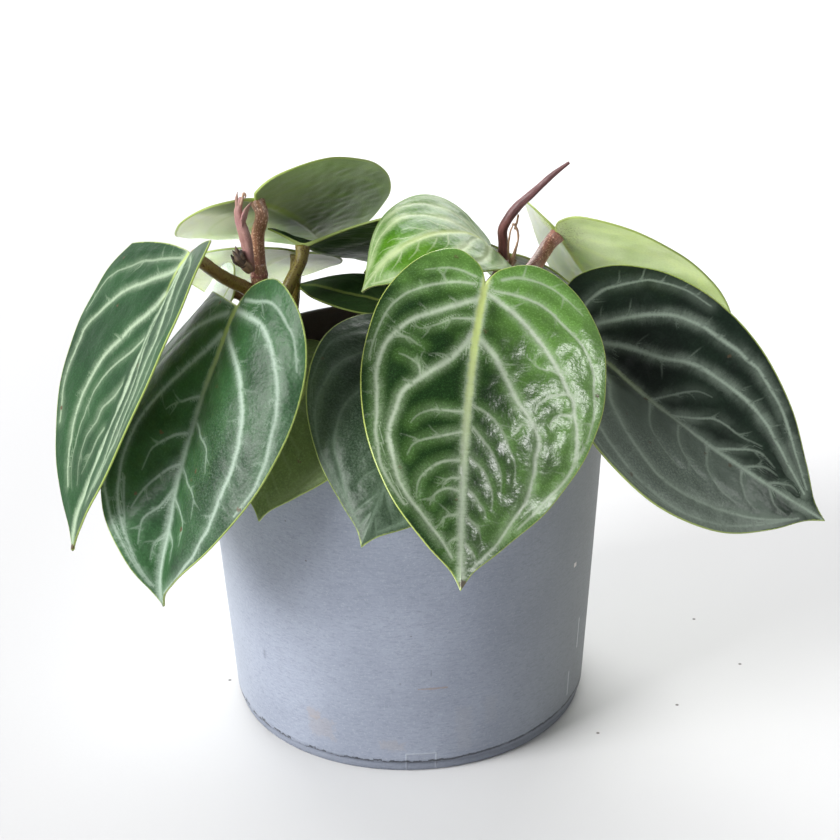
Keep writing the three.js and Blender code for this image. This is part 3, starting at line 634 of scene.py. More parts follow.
def sweep(line, radii, sides, rng, rough, flat=1.0):
    """A closed tube along line; radii per point. Returns points, faces, (run, angle) per point."""
    tangent = unit(np.gradient(line, axis=0))
    side = np.cross(tangent[0], [0, 0, 1.0])
    if np.linalg.norm(side) < 0.1:
        side = np.cross(tangent[0], [0, 1.0, 0])
    side = unit(side)
    angle = np.linspace(0, 2 * math.pi, sides, endpoint=False)
    run = run_along(line)
    points, marks = [], []
    for i, (p, t, r) in enumerate(zip(line, tangent, radii)):
        side = unit(side - t * (side @ t))
        other = np.cross(t, side)
        points.append(p + r * (np.cos(angle)[:, None] * side + flat * np.sin(angle)[:, None] * other))
        marks.append(np.stack([np.full(sides, run[i]), angle], -1))
    points, marks = np.vstack(points), np.vstack(marks)
    away = unit(points - np.repeat(line, sides, axis=0))
    points = points + away * (lumps(points, rng, 0.12, rough) + lumps(points, rng, 0.6, rough * 0.4))[:, None]
    faces = tube_faces(len(line), sides)
    base, last = len(points), len(points) - sides
    ends = [line[0] - tangent[0] * radii[0] * 0.25, line[-1] + tangent[-1] * radii[-1] * 0.25]
    faces += [[base, (m + 1) % sides, m] for m in range(sides)]
    faces += [[base + 1, last + m, last + (m + 1) % sides] for m in range(sides)]
    return np.vstack([points, *ends]), faces, np.vstack([marks, [0, 0], [run[-1], 0]])


def merged(parts):
    """Several (points, faces, fields) as one."""
    points, faces, fields, start = [], [], {}, 0
    for p, f, extra in parts:
        points.append(p)
        faces += [[v + start for v in face] for face in f]
        start += len(p)
        for key, values in extra.items():
            fields.setdefault(key, []).append(np.asarray(values, float))
    return np.vstack(points), faces, {k: np.concatenate(v) for k, v in fields.items()}


def mesh_of(name, parts, material):
    points, faces, fields = merged(parts)
    return mesh_object(name, points, faces, [material], fields=fields)


# ---- shoots --------------------------------------------------------------------------------------

SHOOTS = {
    "shoot_left": ([(-30, 6, 84), (-36, 6, 104), (-40, 4, 118), (-41.1, 3, 130), (-41.2, 3, 138)], (3.3, 3, 2.1), {
        "leaf_far_left": ([(-41, 3, 126), (-44.5, 1.5, 130.4), (-50.5, -4.5, 136.5)], (2.1, 1.8)),
        "leaf_back_left": ([(-41.2, 3, 134), (-41.1, 3.6, 146)], (2.1, 1.9)),
        "leaf_under_left": ([(-40, 4, 113), (-45, 9, 119)], (2, 1.8)),
        "leaf_front_left": ([(-40, 4, 116), (-43, -14, 129)], (2.2, 2)),
        "leaf_back_mid": ([(-37, 6, 106), (-35.5, 11, 122)], (2.2, 1.9)),
        "leaf_rear_left": ([(-36, 6, 103), (-33, 16, 118)], (2.1, 1.8)),
    }),
    "shoot_middle": ([(-8, 2, 84), (-8, 3, 98), (-8, 5, 107), (-8, 7, 112)], (3.2, 2.4), {
        "leaf_low_left": ([(-8, 3, 99), (-13, -12, 117)], (2.2, 1.9)),
        "leaf_front_mid": ([(-8, 4, 102), (2, -16, 117)], (2.2, 1.9)),
        "leaf_inner": ([(-8, 6, 107), (-5, 10, 112)], (2, 1.6)),
        "leaf_rear_mid": ([(-8, 6, 103), (-3, 18, 114)], (2, 1.8)),
    }),
    "shoot_right": ([(18, 2, 84), (21, 3, 104), (25, 4, 119), (28.5, 5, 130), (29.5, 5, 136.5)], (3.4, 2.2), {
        "leaf_front": ([(28.5, 4, 131), (27.5, -8, 136.5)], (2.1, 1.9)),
        "leaf_right": ([(23, 4, 112), (37, -1, 116)], (2.2, 2)),
        "leaf_young": ([(29, 5, 134), (27.5, 5, 138)], (1.5, 1.2)),
        "leaf_back_right": ([(27, 5, 127), (37, 7, 132)], (2.3, 2.1)),
        "leaf_rear_right": ([(25, 5, 119), (33, 17, 122)], (2.1, 1.8)),
    }),
}
SPIKE = ([(29.5, 6, 134.5), (29.6, 7, 141), (29.4, 6, 145.6), (30.9, 5, 149.3), (33.8, 5, 153.2), (36.9, 5, 156.1),
          (40, 5, 159), (43.9, 5, 162.6), (48.2, 5, 165.9)], (1.5, 1.5, 1.4, 1.4, 1.4, 1.2, 1, 0.8, 0.45))
# Small dried pieces: for each one its tubes as (points, radii, flatness, colour zone from 0 to 1).
CURLS = {
    "bract_left": [
        ([(-43, 0, 137), (-43.3, -2, 142), (-44, -2, 146.9), (-44.9, -2, 150.5), (-45.7, -2, 154.4),
          (-45.4, -2, 157.1), (-44.6, -2, 159.6)], (1.1, 1.35, 1.55, 1.75, 1.6, 1.1, 0.5), 0.75, 0.2),
        ([(-44.5, -2.6, 150.9), (-44, -2.9, 154.2), (-42.9, -2.8, 156.8), (-41.6, -2.6, 158.5)],
         (0.7, 1.35, 1.2, 0.15), 0.4, 0.35),
        ([(-45.6, -2, 154.4), (-45.7, -2.2, 157.2), (-45.9, -2.2, 159.4), (-45.6, -2.2, 161.4)],
         (0.8, 0.8, 0.45, 0.12), 0.6, 0.5),
        ([(-44.9, -2.2, 157.6), (-44.2, -2.2, 159.6), (-43.8, -2.2, 161), (-43.3, -2.2, 160.1),
          (-43.9, -2.2, 159.1)], (0.7, 0.65, 0.4, 0.35, 0.12), 0.7, 0.9),
    ],
    "bud_left": [
        ([(-43.5, -1.5, 137.5), (-44.6, -2.6, 139.5), (-45.2, -2.9, 140.3)], (1.4, 1.7, 1.5), 0.9, 0.1),
        ([(-44.6, -2.9, 139.6), (-46.2, -3.2, 141.6), (-47.9, -3.4, 144.4)], (1.5, 1.8, 0.2), 0.75, 0.8),
        ([(-44.9, -2.6, 140.2), (-46.3, -2.9, 143), (-47, -3, 145.4)], (1.3, 1.4, 0.2), 0.7, 0.7),
        ([(-44.8, -2.7, 140), (-45.4, -3.4, 142.4), (-45.3, -3.8, 144.4)], (1.2, 1.3, 0.25), 0.6, 0.9),
        ([(-45, -3, 139.3), (-47.2, -3, 141), (-48.4, -3, 142.8)], (1.1, 1.2, 0.2), 0.6, 1.0),
    ],
    "bract_right": [
        ([(31.5, 4, 136), (31, 4, 140.2), (31.2, 4, 143.9), (32, 4, 147.2), (33, 4, 148.4)],
         (0.7, 0.75, 0.7, 0.5, 0.2), 0.6, 0.3),
        ([(31.8, 3.6, 136), (33, 3.4, 140.4), (33.8, 3.4, 144.1), (33.3, 3.4, 147.1), (32.3, 3.4, 148.4),
          (31.9, 3.4, 146.8)], (0.8, 1.0, 0.85, 0.55, 0.4, 0.2), 0.55, 0.2),
        ([(32.9, 3.8, 146.6), (33.5, 3.8, 149.1), (33.8, 3.8, 151)], (0.4, 0.3, 0.12), 1.0, 0.6),
    ],
}
TRUNK_ROWS, STALK_ROWS, CURL_ROWS = 90, 70, 50
# How green a leaf's stalk is.
STALK_HUE = {
    "leaf_far_left": 0.8, "leaf_back_mid": 1.0, "leaf_back_left": 0.3, "leaf_back_right": 0.15, "leaf_right": 0.2,
    "leaf_front": 0.4, "leaf_young": 0.6, "leaf_rear_left": 0.9, "leaf_under_left": 0.5, "leaf_front_left": 0.5,
}


def spread(radii, count):
    return np.interp(np.linspace(0, 1, count), np.linspace(0, 1, len(radii)), radii)


def make_shoot(name, trunk, radii, stalks, material, seed):
    """A trunk with swollen joints, and the stalks of its leaves up to their blades."""
    rng = np.random.default_rng(seed)
    line, length = centripetal(trunk, TRUNK_ROWS)
    thick = spread(radii, TRUNK_ROWS)
    for joint in (0.18, 0.45, 0.7, 0.93):
        thick = thick + 0.3 * np.exp(-((np.linspace(0, 1, TRUNK_ROWS) - joint) / 0.035)**2)
    points, faces, marks = sweep(line, thick, 28, rng, 0.06)
    parts = [(points, faces, {"mark": np.c_[marks, np.zeros(len(marks))], "hue": 0.3 * marks[:, 0] / length})]
    for leaf_name, (way, ends) in stalks.items():
        leaf = LEAVES[leaf_name]
        normal = Blade(leaf).frame(np.array([0.0]))[2][0]
        end = np.array(leaf["at"]) - normal * (MID_THICKNESS / 2 - 0.1)
        way = list(way) + [tuple(end - normal * 4), tuple(end)]
        line, length = centripetal(way, STALK_ROWS)
        t = np.linspace(0, 1, STALK_ROWS)
        thick = spread(ends, STALK_ROWS) + 0.3 * np.exp(-((1 - t) * length / 1.6)**2)
        thick = thick + 0.5 * np.exp(-(t * length / 2.5)**2)
        points, faces, marks = sweep(line, thick, 24, rng, 0.04)
        hue = STALK_HUE.get(leaf_name, 0.5) * smoothstep(0, 9, marks[:, 0])
        parts.append((points, faces, {"mark": np.c_[marks, np.full(len(marks), rng.uniform(1, 9))], "hue": hue}))
    return mesh_of(name, parts, material)


# ---- pot and soil --------------------------------------------------------------------------------

POT = dict(rim=60, foot=53.9, height=103.4, wall=1.6, floor=2.2, foot_height=3, foot_inset=0.5,
           drains=8, drain_radius=4, drain_circle=38)
SOIL_LEVEL, SOIL_BUMP = 93, 2.2


def wall_radius(z):
    return POT["foot"] + (POT["rim"] - POT["foot"]) * z / POT["height"]


def make_pot(material):
    height, wall, floor = POT["height"], POT["wall"], POT["floor"]
    foot = POT["foot_height"]
    inset = wall_radius(0) - POT["foot_inset"]
    rim = [(wall_radius(height) - 0.8 + 0.8 * math.cos(t), height - 0.8 + 0.8 * math.sin(t))
           for t in np.linspace(0, math.pi, 9)]
    heights = np.linspace(foot + 0.5, height - 0.9, 60)
    profile = [(wall_radius(0) - 12, 0.0), (inset - 1.2, 0), (inset - 0.5, 0.15), (inset - 0.1, 0.6), (inset, 1.2),
               (inset + 0.05, foot - 0.9), (inset - 0.2, foot - 0.35), (inset + 0.15, foot + 0.05)]
    profile += [(wall_radius(z), z) for z in heights] + rim
    profile += [(wall_radius(z) - wall, z) for z in np.linspace(height - 1.2, floor + 1.5, 24)]
    profile += [(wall_radius(floor) - wall - 0.5, floor + 0.4), (wall_radius(floor) - wall - 1.4, floor)]
    count = 240
    profile = np.array(profile)
    angle = np.linspace(0, 2 * math.pi, count, endpoint=False)
    points = []
    for x, z in profile:
        wobble = 0.1 * np.sin(2 * angle + 0.6) * z / height + 0.04 * np.sin(5 * angle + z * 0.05)
        lift = 0.35 * np.sin(3 * angle + 1) * 0.4 if 1.5 < z < foot + 1 and x > 50 else 0
        points.append(np.stack([(x + wobble) * np.cos(angle), (x + wobble) * np.sin(angle), z + lift + 0 * angle], -1))
    points = np.vstack(points)
    faces = tube_faces(len(profile), count)
    # the floor: two flat rings of cells with round drain holes between them
    edge_low, edge_high = 0, (len(profile) - 1) * count
    drains = POT["drains"]
    span = count // drains
    radius, circle = POT["drain_radius"], POT["drain_circle"]
    extra = []

    def new(p):
        extra.append(p)
        return len(points) + len(extra) - 1

    hub = 24
    levels = []
    for z, outer in ((0.0, edge_low), (floor, edge_high)):
        inner = [new((hub * math.cos(t), hub * math.sin(t), z)) for t in angle]
        centre = new((0, 0, z))
        flip = z == 0
        for m in range(count):
            tri = [centre, inner[m], inner[(m + 1) % count]]
            faces.append(tri[::-1] if flip else tri)
        holes = []
        for d in range(drains):
            middle = 2 * math.pi * (d + 0.5) / drains
            centre_xy = np.array([circle * math.cos(middle), circle * math.sin(middle)])
            first = d * span
            border = [outer + (first + m) % count for m in range(span + 1)]
            border += [inner[(first + m) % count] for m in range(span, -1, -1)]
            loop = []
            all_points = list(points) + extra
            for b in border:
                way = np.array(all_points[b][:2]) - centre_xy
                loop.append(math.atan2(way[1], way[0]))
            hole = [new((centre_xy[0] + radius * math.cos(t), centre_xy[1] + radius * math.sin(t), z)) for t in loop]
            holes.append(hole)
            size = len(border)
            for m in range(size):
                nxt = (m + 1) % size
                quad = [border[m], border[nxt], hole[nxt], hole[m]]
                faces.append(quad[::-1] if flip else quad)
        levels.append(holes)
    for low, high in zip(*levels):
        for m in range(len(low)):
            nxt = (m + 1) % len(low)
            faces.append([low[m], low[nxt], high[nxt], high[m]])
    points = np.vstack([points, np.array(extra)])
    return mesh_object("pot_shell", points, faces, [material])


def soil_height(x, y):
    return SOIL_LEVEL + SOIL_BUMP * (0.5 * np.sin(0.21 * x + 0.8) * np.cos(0.17 * y)
                                     + 0.3 * np.sin(0.43 * y - 0.31 * x + 2) + 0.2 * np.cos(0.6 * x + 0.5 * y))


def make_soil(material):
    rng = np.random.default_rng(SEEDS["soil"])
    rings, skirts, count = 64, 12, 180
    top_radius = wall_radius(SOIL_LEVEL) - POT["wall"] - 0.5
    angle = np.linspace(0, 2 * math.pi, count, endpoint=False)
    r = top_radius * np.linspace(0.01, 1, rings)[:, None]
    x, y = r * np.cos(angle), r * np.sin(angle)
    flat = np.stack([x.ravel(), y.ravel()], -1)
    z = soil_height(flat[:, 0], flat[:, 1])
    clods = np.abs(lumps(flat, rng, 0.11, 1.3)) + np.abs(lumps(flat, rng, 0.27, 0.8)) + lumps(flat, rng, 0.6, 0.35)
    z = z + (clods - 1.2) * smoothstep(1.0, 0.93, np.hypot(*flat.T) / top_radius)
    top = np.c_[flat, z]
    bottom_z = POT["floor"] + 0.3
    bottom_radius = wall_radius(bottom_z) - POT["wall"] - 0.4
    skirt = []
    for t in np.linspace(0.05, 1, skirts):
        z_edge = top[-count:, 2] * (1 - t) + bottom_z * t
        radius = top_radius + (bottom_radius - top_radius) * t
        skirt.append(np.stack([radius * np.cos(angle), radius * np.sin(angle), z_edge], -1))
    points = np.vstack([top, *skirt, [[0, 0, float(z[:count].mean())], [0, 0, bottom_z]]])
    rows = rings + skirts
    faces = [[a, d, c, b] for a, b, c, d in tube_faces(rows, count)]
    hub, base = rows * count, rows * count + 1
    faces += [[hub, m, (m + 1) % count] for m in range(count)]
    faces += [[base, (rows - 1) * count + (m + 1) % count, (rows - 1) * count + m] for m in range(count)]
    parts = [(points, faces, {"fibre": np.zeros(len(points))})]
    for _ in range(170):  # peat fibres and bark crumbs on the top
        t, rr = rng.uniform(0, 2 * math.pi), top_radius * 0.95 * math.sqrt(rng.random())
        centre = np.array([rr * math.cos(t), rr * math.sin(t)])
        heading, length = rng.uniform(0, 2 * math.pi), rng.uniform(2.5, 9)
        s = np.linspace(-0.5, 0.5, 8)[:, None] * length
        curl = rng.normal(0, 0.35)
        way = centre + s * [math.cos(heading), math.sin(heading)] + (s / length)**2 * curl * length * np.array(
            [-math.sin(heading), math.cos(heading)])
        inside = np.hypot(*way.T) < top_radius - 1
        if not inside.all():
            continue
        lift = soil_height(way[:, 0], way[:, 1]) + rng.uniform(0.2, 1.3) + rng.normal(0, 0.35, len(way))
        line = np.c_[way, lift]
        thick = np.full(len(line), rng.uniform(0.12, 0.4) if rng.random() < 0.75 else rng.uniform(0.5, 0.9))
        p, f, _ = sweep(line, thick, 6, rng, 0.05)
        parts.append((p, f, {"fibre": np.full(len(p), rng.uniform(0.2, 1))}))
    return mesh_of("soil_bed", parts, material)


# ---- materials -----------------------------------------------------------------------------------

def rgb(r, g, b):
    """A colour from 0-255 display values, in linear light."""
    return tuple(((c / 255 + 0.055) / 1.055)**2.4 if c > 10 else c / 255 / 12.92 for c in (r, g, b)) + (1,)


class Value:
    """A node's output. Arithmetic on it adds Math nodes."""

    def __init__(self, shader, socket):
        self.shader, self.socket = shader, socket

    def __abs__(self):
        return self.shader.math("ABSOLUTE", self)


for sign, operation in (("add", "ADD"), ("sub", "SUBTRACT"), ("mul", "MULTIPLY"), ("truediv", "DIVIDE")):
    setattr(Value, f"__{sign}__", lambda a, b, kind=operation: a.shader.math(kind, a, b))
    setattr(Value, f"__r{sign}__", lambda a, b, kind=operation: a.shader.math(kind, b, a))


class Shader:
    """Short ways to make the nodes of one material."""

    def __init__(self, name):
        self.material = bpy.data.materials.new(name)
        self.material.use_nodes = True
        self.tree = self.material.node_tree
        self.tree.nodes.clear()

    def make(self, kind, inputs=None, **settings):
        """A node. An input that is None keeps its own value."""
        made = self.tree.nodes.new(kind)
        for key, value in settings.items():
            setattr(made, key, value)
        for key, value in (inputs or {}).items():
            if isinstance(value, Value):
                self.tree.links.new(value.socket, made.inputs[key])
            elif value is not None:
                made.inputs[key].default_value = value
        return made

    def node(self, part, kind, inputs=None, **settings):
        return Value(self, self.make(kind, inputs, **settings).outputs[part])

    def field(self, name, part="Fac"):
        return self.node(part, "ShaderNodeAttribute", attribute_name=name)

    def position(self, scale=1.0):
        """The position on the object, in metres times scale."""
        here = self.node("Object", "ShaderNodeTexCoord")
        return here if scale == 1 else self.vector("SCALE", here, scale=scale)

    def split(self, vector):
        return [Value(self, out) for out in self.make("ShaderNodeSeparateXYZ", {0: vector}).outputs]

    def join(self, x=0.0, y=0.0, z=0.0):
        return self.node(0, "ShaderNodeCombineXYZ", {0: x, 1: y, 2: z})

    def math(self, kind, a, b=None, clamp=False):
        return self.node(0, "ShaderNodeMath", {0: a, 1: b}, operation=kind, use_clamp=clamp)

    def vector(self, kind, a, b=None, scale=None):
        part = "Value" if kind in ("LENGTH", "DISTANCE") else 0
        return self.node(part, "ShaderNodeVectorMath", {0: a, 1: b, "Scale": scale}, operation=kind)

    def step(self, value, low, high, to_low=0.0, to_high=1.0):
        return self.node(0, "ShaderNodeMapRange", {"Value": value, 1: low, 2: high, 3: to_low, 4: to_high},
                         interpolation_type="SMOOTHSTEP")

    def noise(self, vector, scale, detail=2.0, rough=0.5, part=0):
        return self.node(part, "ShaderNodeTexNoise", {
            "Vector": vector, "Scale": scale, "Detail": detail, "Roughness": rough})

    def cells(self, vector, scale, part=0):
        return self.node(part, "ShaderNodeTexVoronoi", {"Vector": vector, "Scale": scale})

    def mix(self, share, a, b):
        return self.node(2, "ShaderNodeMix", {0: share, 6: a, 7: b}, data_type="RGBA")

    def bump(self, height, strength, distance, under=None):
        return self.node(0, "ShaderNodeBump", {
            "Height": height, "Strength": strength, "Distance": distance, "Normal": under})

    def surface(self, colour, roughness, normal=None, **more):
        inputs = {"Base Color": colour, "Roughness": roughness, "Normal": normal}
        shader = self.make("ShaderNodeBsdfPrincipled", inputs)
        for key, value in more.items():
            shader.inputs[key.replace("_", " ")].default_value = value
        output = self.make("ShaderNodeOutputMaterial")
        self.tree.links.new(shader.outputs[0], output.inputs[0])
        return self.material


def spot(s, x, y, pool, jitter):
    """1 inside the pool (x, y, radius, radius beyond the soft edge), 0 outside."""
    cx, cy, inner, outer = pool
    gap = s.vector("LENGTH", s.join(x - cx, y - cy))
    return s.step(gap + jitter, inner, outer, 1.0, 0.0)


def vein_parts(s):
    """Vein fields: run, distance in half widths and in millimetres, half width, strength."""
    ox, oy, n_far = s.split(s.field("vein", "Vector"))
    run, wide, strong = s.split(s.field("run", "Vector"))
    near = s.vector("LENGTH", s.join(ox, oy))
    n = s.math("MAXIMUM", near, n_far - 0.7 / wide)
    return run, n, n * wide, wide, strong


LEAF_TISSUE = dict(Subsurface_Radius=(0.9, 1.0, 0.6), Subsurface_Scale=0.0018)


def leaf_top(name, deep, bright, silver, veins=1.0, gloss=0.3, lime=(168, 186, 100), stripe=0.8,
             stripe_end=48.0, halo=0.4, halo_width=4.0, shade_pool=None, haze_and_sheen_pool=None, haze_and_sheen=(140, 150, 145),
             haze_and_sheen_share=0.0, flecks_and_glint_pool=None, flecks_and_glint=0.5, soil=0.3, sparkle=0.25, shine=0.4, bruises=(),
             through=0.0):
    """The upper face: green tissue, feathered silver veins, a fine lime margin and soil crumbs."""
    s = Shader(name)
    x, y, seed = s.split(s.field("flat", "Vector"))
    run, n, d, _, strong = vein_parts(s)
    rim = s.field("rim")
    here = s.join(x, y, seed * 31.0)
    fibre = s.noise(s.join(run * 1.4, d * 0.35, seed), 1.0, 3.0, 0.7)
    grain = s.noise(here, 2.2, 3.0, 0.75)
    cloud = s.noise(here, 0.11, 3.0, 0.55)
    ragged = (fibre - 0.5) * 1.5 + (grain - 0.5) * 2.0
    core = s.step(n + ragged, 2.4, -0.3)
    main, main_strong, _ = s.split(s.field("main", "Vector"))
    glow = s.step(main + ragged * 1.1, halo_width, 0.0)
    glow = glow * main_strong
    glow = glow * glow * s.step(cloud, 0.3, 0.7, 0.4 * halo, 1.5 * halo)
    vein = s.math("MAXIMUM", core * strong, glow)
    vein = s.math("MULTIPLY", vein, s.step(grain, 0.2, 0.6, 0.82 * veins, veins), clamp=True)
    # tissue: a deep and a bright green, paler beside the veins, with fine pale flecks
    share = s.step(s.noise(here, 0.045, 3.0, 0.55), 0.3, 0.7)
    # painted shade: a soft pool where the tissue is deep green and the veins are dimmer
    if shade_pool:
        wander = (cloud - 0.5) * 30.0
        dark = spot(s, x, y, shade_pool, wander)
        share = (share * 0.3 + 0.7) * (1.0 - dark)
        vein = vein * (1.0 - dark * 0.45)
    share = s.math("ADD", share, s.step(main, 4.0, 0.5, 0.0, 0.2), clamp=True)
    tissue = s.mix(share, rgb(*deep), rgb(*bright))
    speck = s.noise(here, 1.6, 3.0, 0.75)
    tissue = s.mix(s.step(speck, 0.42, 0.75, 0.0, 0.55), tissue,
                   s.mix(share, rgb(*[1.4 * c + 14 for c in deep]),
                         rgb(*[min(1.25 * c + 12, 250) for c in bright])))
    # a grey pool, partly the leaf's own haze and partly a painted reflection of light
    if haze_and_sheen_pool:
        wander = (cloud - 0.5) * 14.0
        tissue = s.mix(spot(s, x, y, haze_and_sheen_pool, wander) * haze_and_sheen_share, tissue, rgb(*haze_and_sheen))
    colour = s.mix(vein * 0.9, tissue, rgb(*silver))
    # fine silver flecks in a pool, partly the leaf's own mottling and partly a painted glint of light
    if flecks_and_glint_pool:
        wander = (cloud - 0.5) * 16.0
        fine = s.step(s.noise(here, 1.7, 4.0, 0.85), 0.42, 0.66)
        fine = fine * spot(s, x, y, flecks_and_glint_pool, wander)
        colour = s.mix(fine * flecks_and_glint, colour, rgb(*silver))
    # the lime midrib near the stalk and the thin lime margin
    wobble = (s.noise(here, 0.5, 3.0, 0.6) - 0.5) * 1.3
    middle = s.step(abs(x) + wobble, 1.5, 0.3)
    middle = middle * s.step(y, stripe_end, 2.0, 0.0, stripe)
    colour = s.mix(middle, colour, rgb(*lime))
    edge = rim + s.noise(here, 0.9, 2.0) * 0.5
    colour = s.mix(s.step(edge, 0.8, 0.3, 0.0, 0.75), colour, rgb(*lime))
    # bruises and soil crumbs
    for bx, by, size in bruises:
        gap = s.vector("LENGTH", s.join(x - bx, y - by))
        gap = gap + (grain - 0.5) * 2.0
        colour = s.mix(s.step(gap, size, 0.5 * size, 0.0, 0.85), colour, rgb(74, 46, 30))
    lumpy = s.vector("ADD", here, s.vector("SCALE", s.noise(here, 1.6, 2.0, part=1), scale=1.4))
    crumbs = s.step(s.cells(lumpy, 0.15), 0.12, 0.07)
    crumbs = crumbs * s.step(s.noise(here, 0.06, 1.0), 0.6 - 0.2 * soil, 0.66 - 0.2 * soil)
    colour = s.mix(crumbs * min(1.0, 2 * soil), colour, rgb(84, 68, 50))
    bumps = s.bump(s.noise(here, 0.8, 1.5, 0.5), sparkle, 0.0005)
    bumps = s.bump(core, -0.1, 0.0003, bumps)
    rough = speck * 0.16 + (gloss - 0.06)
    rough = rough + vein * 0.15
    return s.surface(colour, rough, bumps, Specular_IOR_Level=shine, Subsurface_Weight=through, **LEAF_TISSUE)


def leaf_under(name, deep, bright, line, veins=0.4, gloss=0.45, lime=(168, 184, 104), lit_through_pool=None,
               pale=(190, 200, 172), streaks=0.3, streak=(200, 210, 190), crumbs=0.0, middle=0.8, through=0.6):
    """The underside: smooth green, streaked away from the stalk, with the veins as faint lines."""
    s = Shader(name)
    x, y, seed = s.split(s.field("flat", "Vector"))
    _, n, _, wide, _ = vein_parts(s)
    here = s.join(x, y, seed * 17.0)
    cloud = s.noise(here, 0.06, 3.0, 0.55)
    tissue = s.mix(s.step(cloud, 0.3, 0.7), rgb(*deep), rgb(*bright))
    fleck = s.noise(here, 1.4, 4.0, 0.7)
    tissue = s.mix(s.step(fleck, 0.4, 0.75, 0.0, 0.3), tissue, rgb(*[c * 0.85 for c in deep]))
    reach = s.vector("LENGTH", s.join(x, y + 8.0))
    turn = s.math("ARCTAN2", x, y + 8.0)
    comb = s.noise(s.join(turn * 26.0, reach * 0.06, seed), 1.0, 4.0, 0.7)
    comb = s.step(comb, 0.48, 0.72) * s.step(reach, 62.0, 8.0, 0.15, 1.0)
    # painted light: a pale pool where light shines through the blade
    if lit_through_pool:
        wander = (cloud - 0.5) * 12.0
        tissue = s.mix(spot(s, x, y, lit_through_pool, wander), tissue, rgb(*pale))
    tissue = s.mix(comb * streaks, tissue, rgb(*streak))
    soft = s.step(n, 2.2, 0.0) * s.step(wide, 0.25, 0.8, 0.1, 1.0)
    colour = s.mix(soft * veins, tissue, rgb(*line))
    wobble = (fleck - 0.5) * 0.8
    keel = s.step(abs(x) + wobble, 1.9, 0.5)
    colour = s.mix(keel * s.step(y, 62.0, 5.0, 0.2, middle), colour, rgb(*line))
    colour = s.mix(s.step(s.field("rim"), 0.9, 0.3, 0.0, 0.85), colour, rgb(*lime))
    if crumbs:
        bits = s.step(s.noise(here, 1.3, 3.0, 0.8), 0.55, 0.62)
        bits = bits * s.step(s.vector("LENGTH", s.join(x, y + 3.0)), 15.0, 2.0)
        colour = s.mix(bits * crumbs, colour, rgb(92, 74, 40))
    bumps = s.bump(fleck, 0.15, 0.0003)
    bumps = s.bump(comb, 0.1, 0.0003, bumps)
    rough = fleck * 0.15 + (gloss - 0.07)
    return s.surface(colour, rough, bumps, Specular_IOR_Level=0.2, Subsurface_Weight=through, **LEAF_TISSUE)


def stem_material(name, dark, light, green, pale, ink, dots, gloss):
    """Skin of stems and stalks: grooved, greener where hue is high, with dense small dots."""
    s = Shader(name)
    run, angle, seed = s.split(s.field("mark", "Vector"))
    hue = s.field("hue")
    here = s.position(1 / MM)
    cosine, sine = s.math("COSINE", angle), s.math("SINE", angle)

    def around(ring, stretch):
        return s.join(cosine * ring, sine * ring, run * stretch + seed)

    base = s.mix(s.step(s.noise(around(1.2, 0.14), 1.0, 3.0, 0.6), 0.35, 0.68), rgb(*dark), rgb(*light))
    shift = (s.noise(around(1.0, 0.1), 1.0, 2.0) - 0.5) * 0.8
    base = s.mix(s.math("ADD", hue, shift * hue, clamp=True), base, rgb(*green))
    patch = s.step(s.noise(around(2.0, 0.5), 1.0, 2.0, 0.6), 0.35, 0.6, 0.25, 1.0)
    spots = s.step(s.cells(around(3.9, 1.5), 1.0), 0.44, 0.2) * patch
    base = s.mix(spots * dots, base, s.mix(s.step(hue, 0.3, 0.7), rgb(*pale), rgb(*ink)))
    more = s.step(s.cells(around(2.7, 1.0), 1.0), 0.4, 0.2)
    base = s.mix(more * (hue * 0.6), base, rgb(*ink))
    bumps = s.bump(s.noise(around(3.2, 0.15), 1.5, 3.0), 0.35, 0.0003)
    bumps = s.bump(s.noise(here, 2.5, 3.0, 0.6), 0.2, 0.0003, bumps)
    bumps = s.bump(spots, 0.3, 0.0001, bumps)
    rough = s.noise(here, 0.6, 2.0) * 0.2 + (gloss - 0.1)
    return s.surface(base, rough, bumps, Specular_IOR_Level=0.5)


POT_ARC_RADIUS = 56.0  # distances around the pot are measured at this radius
WALL_SLOPE = 0.059
# Smears, scratches and specks of the pot in millimetres: place along the arc and height, half width and half
# height, colour, share, width of the soft edge, and how frayed it is.
BLEMISHES = [
    (-27.4, 12.5, 3.2, 2.6, (150, 142, 138), 0.3, 1.5, 8.0),
    (-30, 17, 1.6, 1.2, (154, 142, 134), 0.35, 1.0, 6.0),
    (16.3, 14, 1.6, 7, (152, 153, 158), 0.25, 1.5, 5.0),
    (25, 19, 1.2, 4, (152, 153, 158), 0.2, 1.2, 4.0),
    (-5.5, 9.5, 3.4, 0.9, (156, 148, 144), 0.3, 1.0, 6.0),
    (7, 29.6, 4.2, 0.1, (142, 126, 118), 0.7, 0.35, 1.2),
    (6.5, 35, 0.05, 1.1, (86, 90, 100), 0.6, 0.3, 1.2),
    (65.4, 27, 0.1, 5, (198, 202, 208), 0.8, 0.4, 0.5),
    (58.1, 54.5, 0.5, 0.5, (206, 200, 196), 0.9, 0.4, 0.6),
    (-48.1, 30.5, 0.2, 1.2, (104, 110, 122), 0.5, 0.8, 1.4),
    (60, 12, 0.1, 4, (188, 192, 198), 0.6, 0.4, 0.8),
]


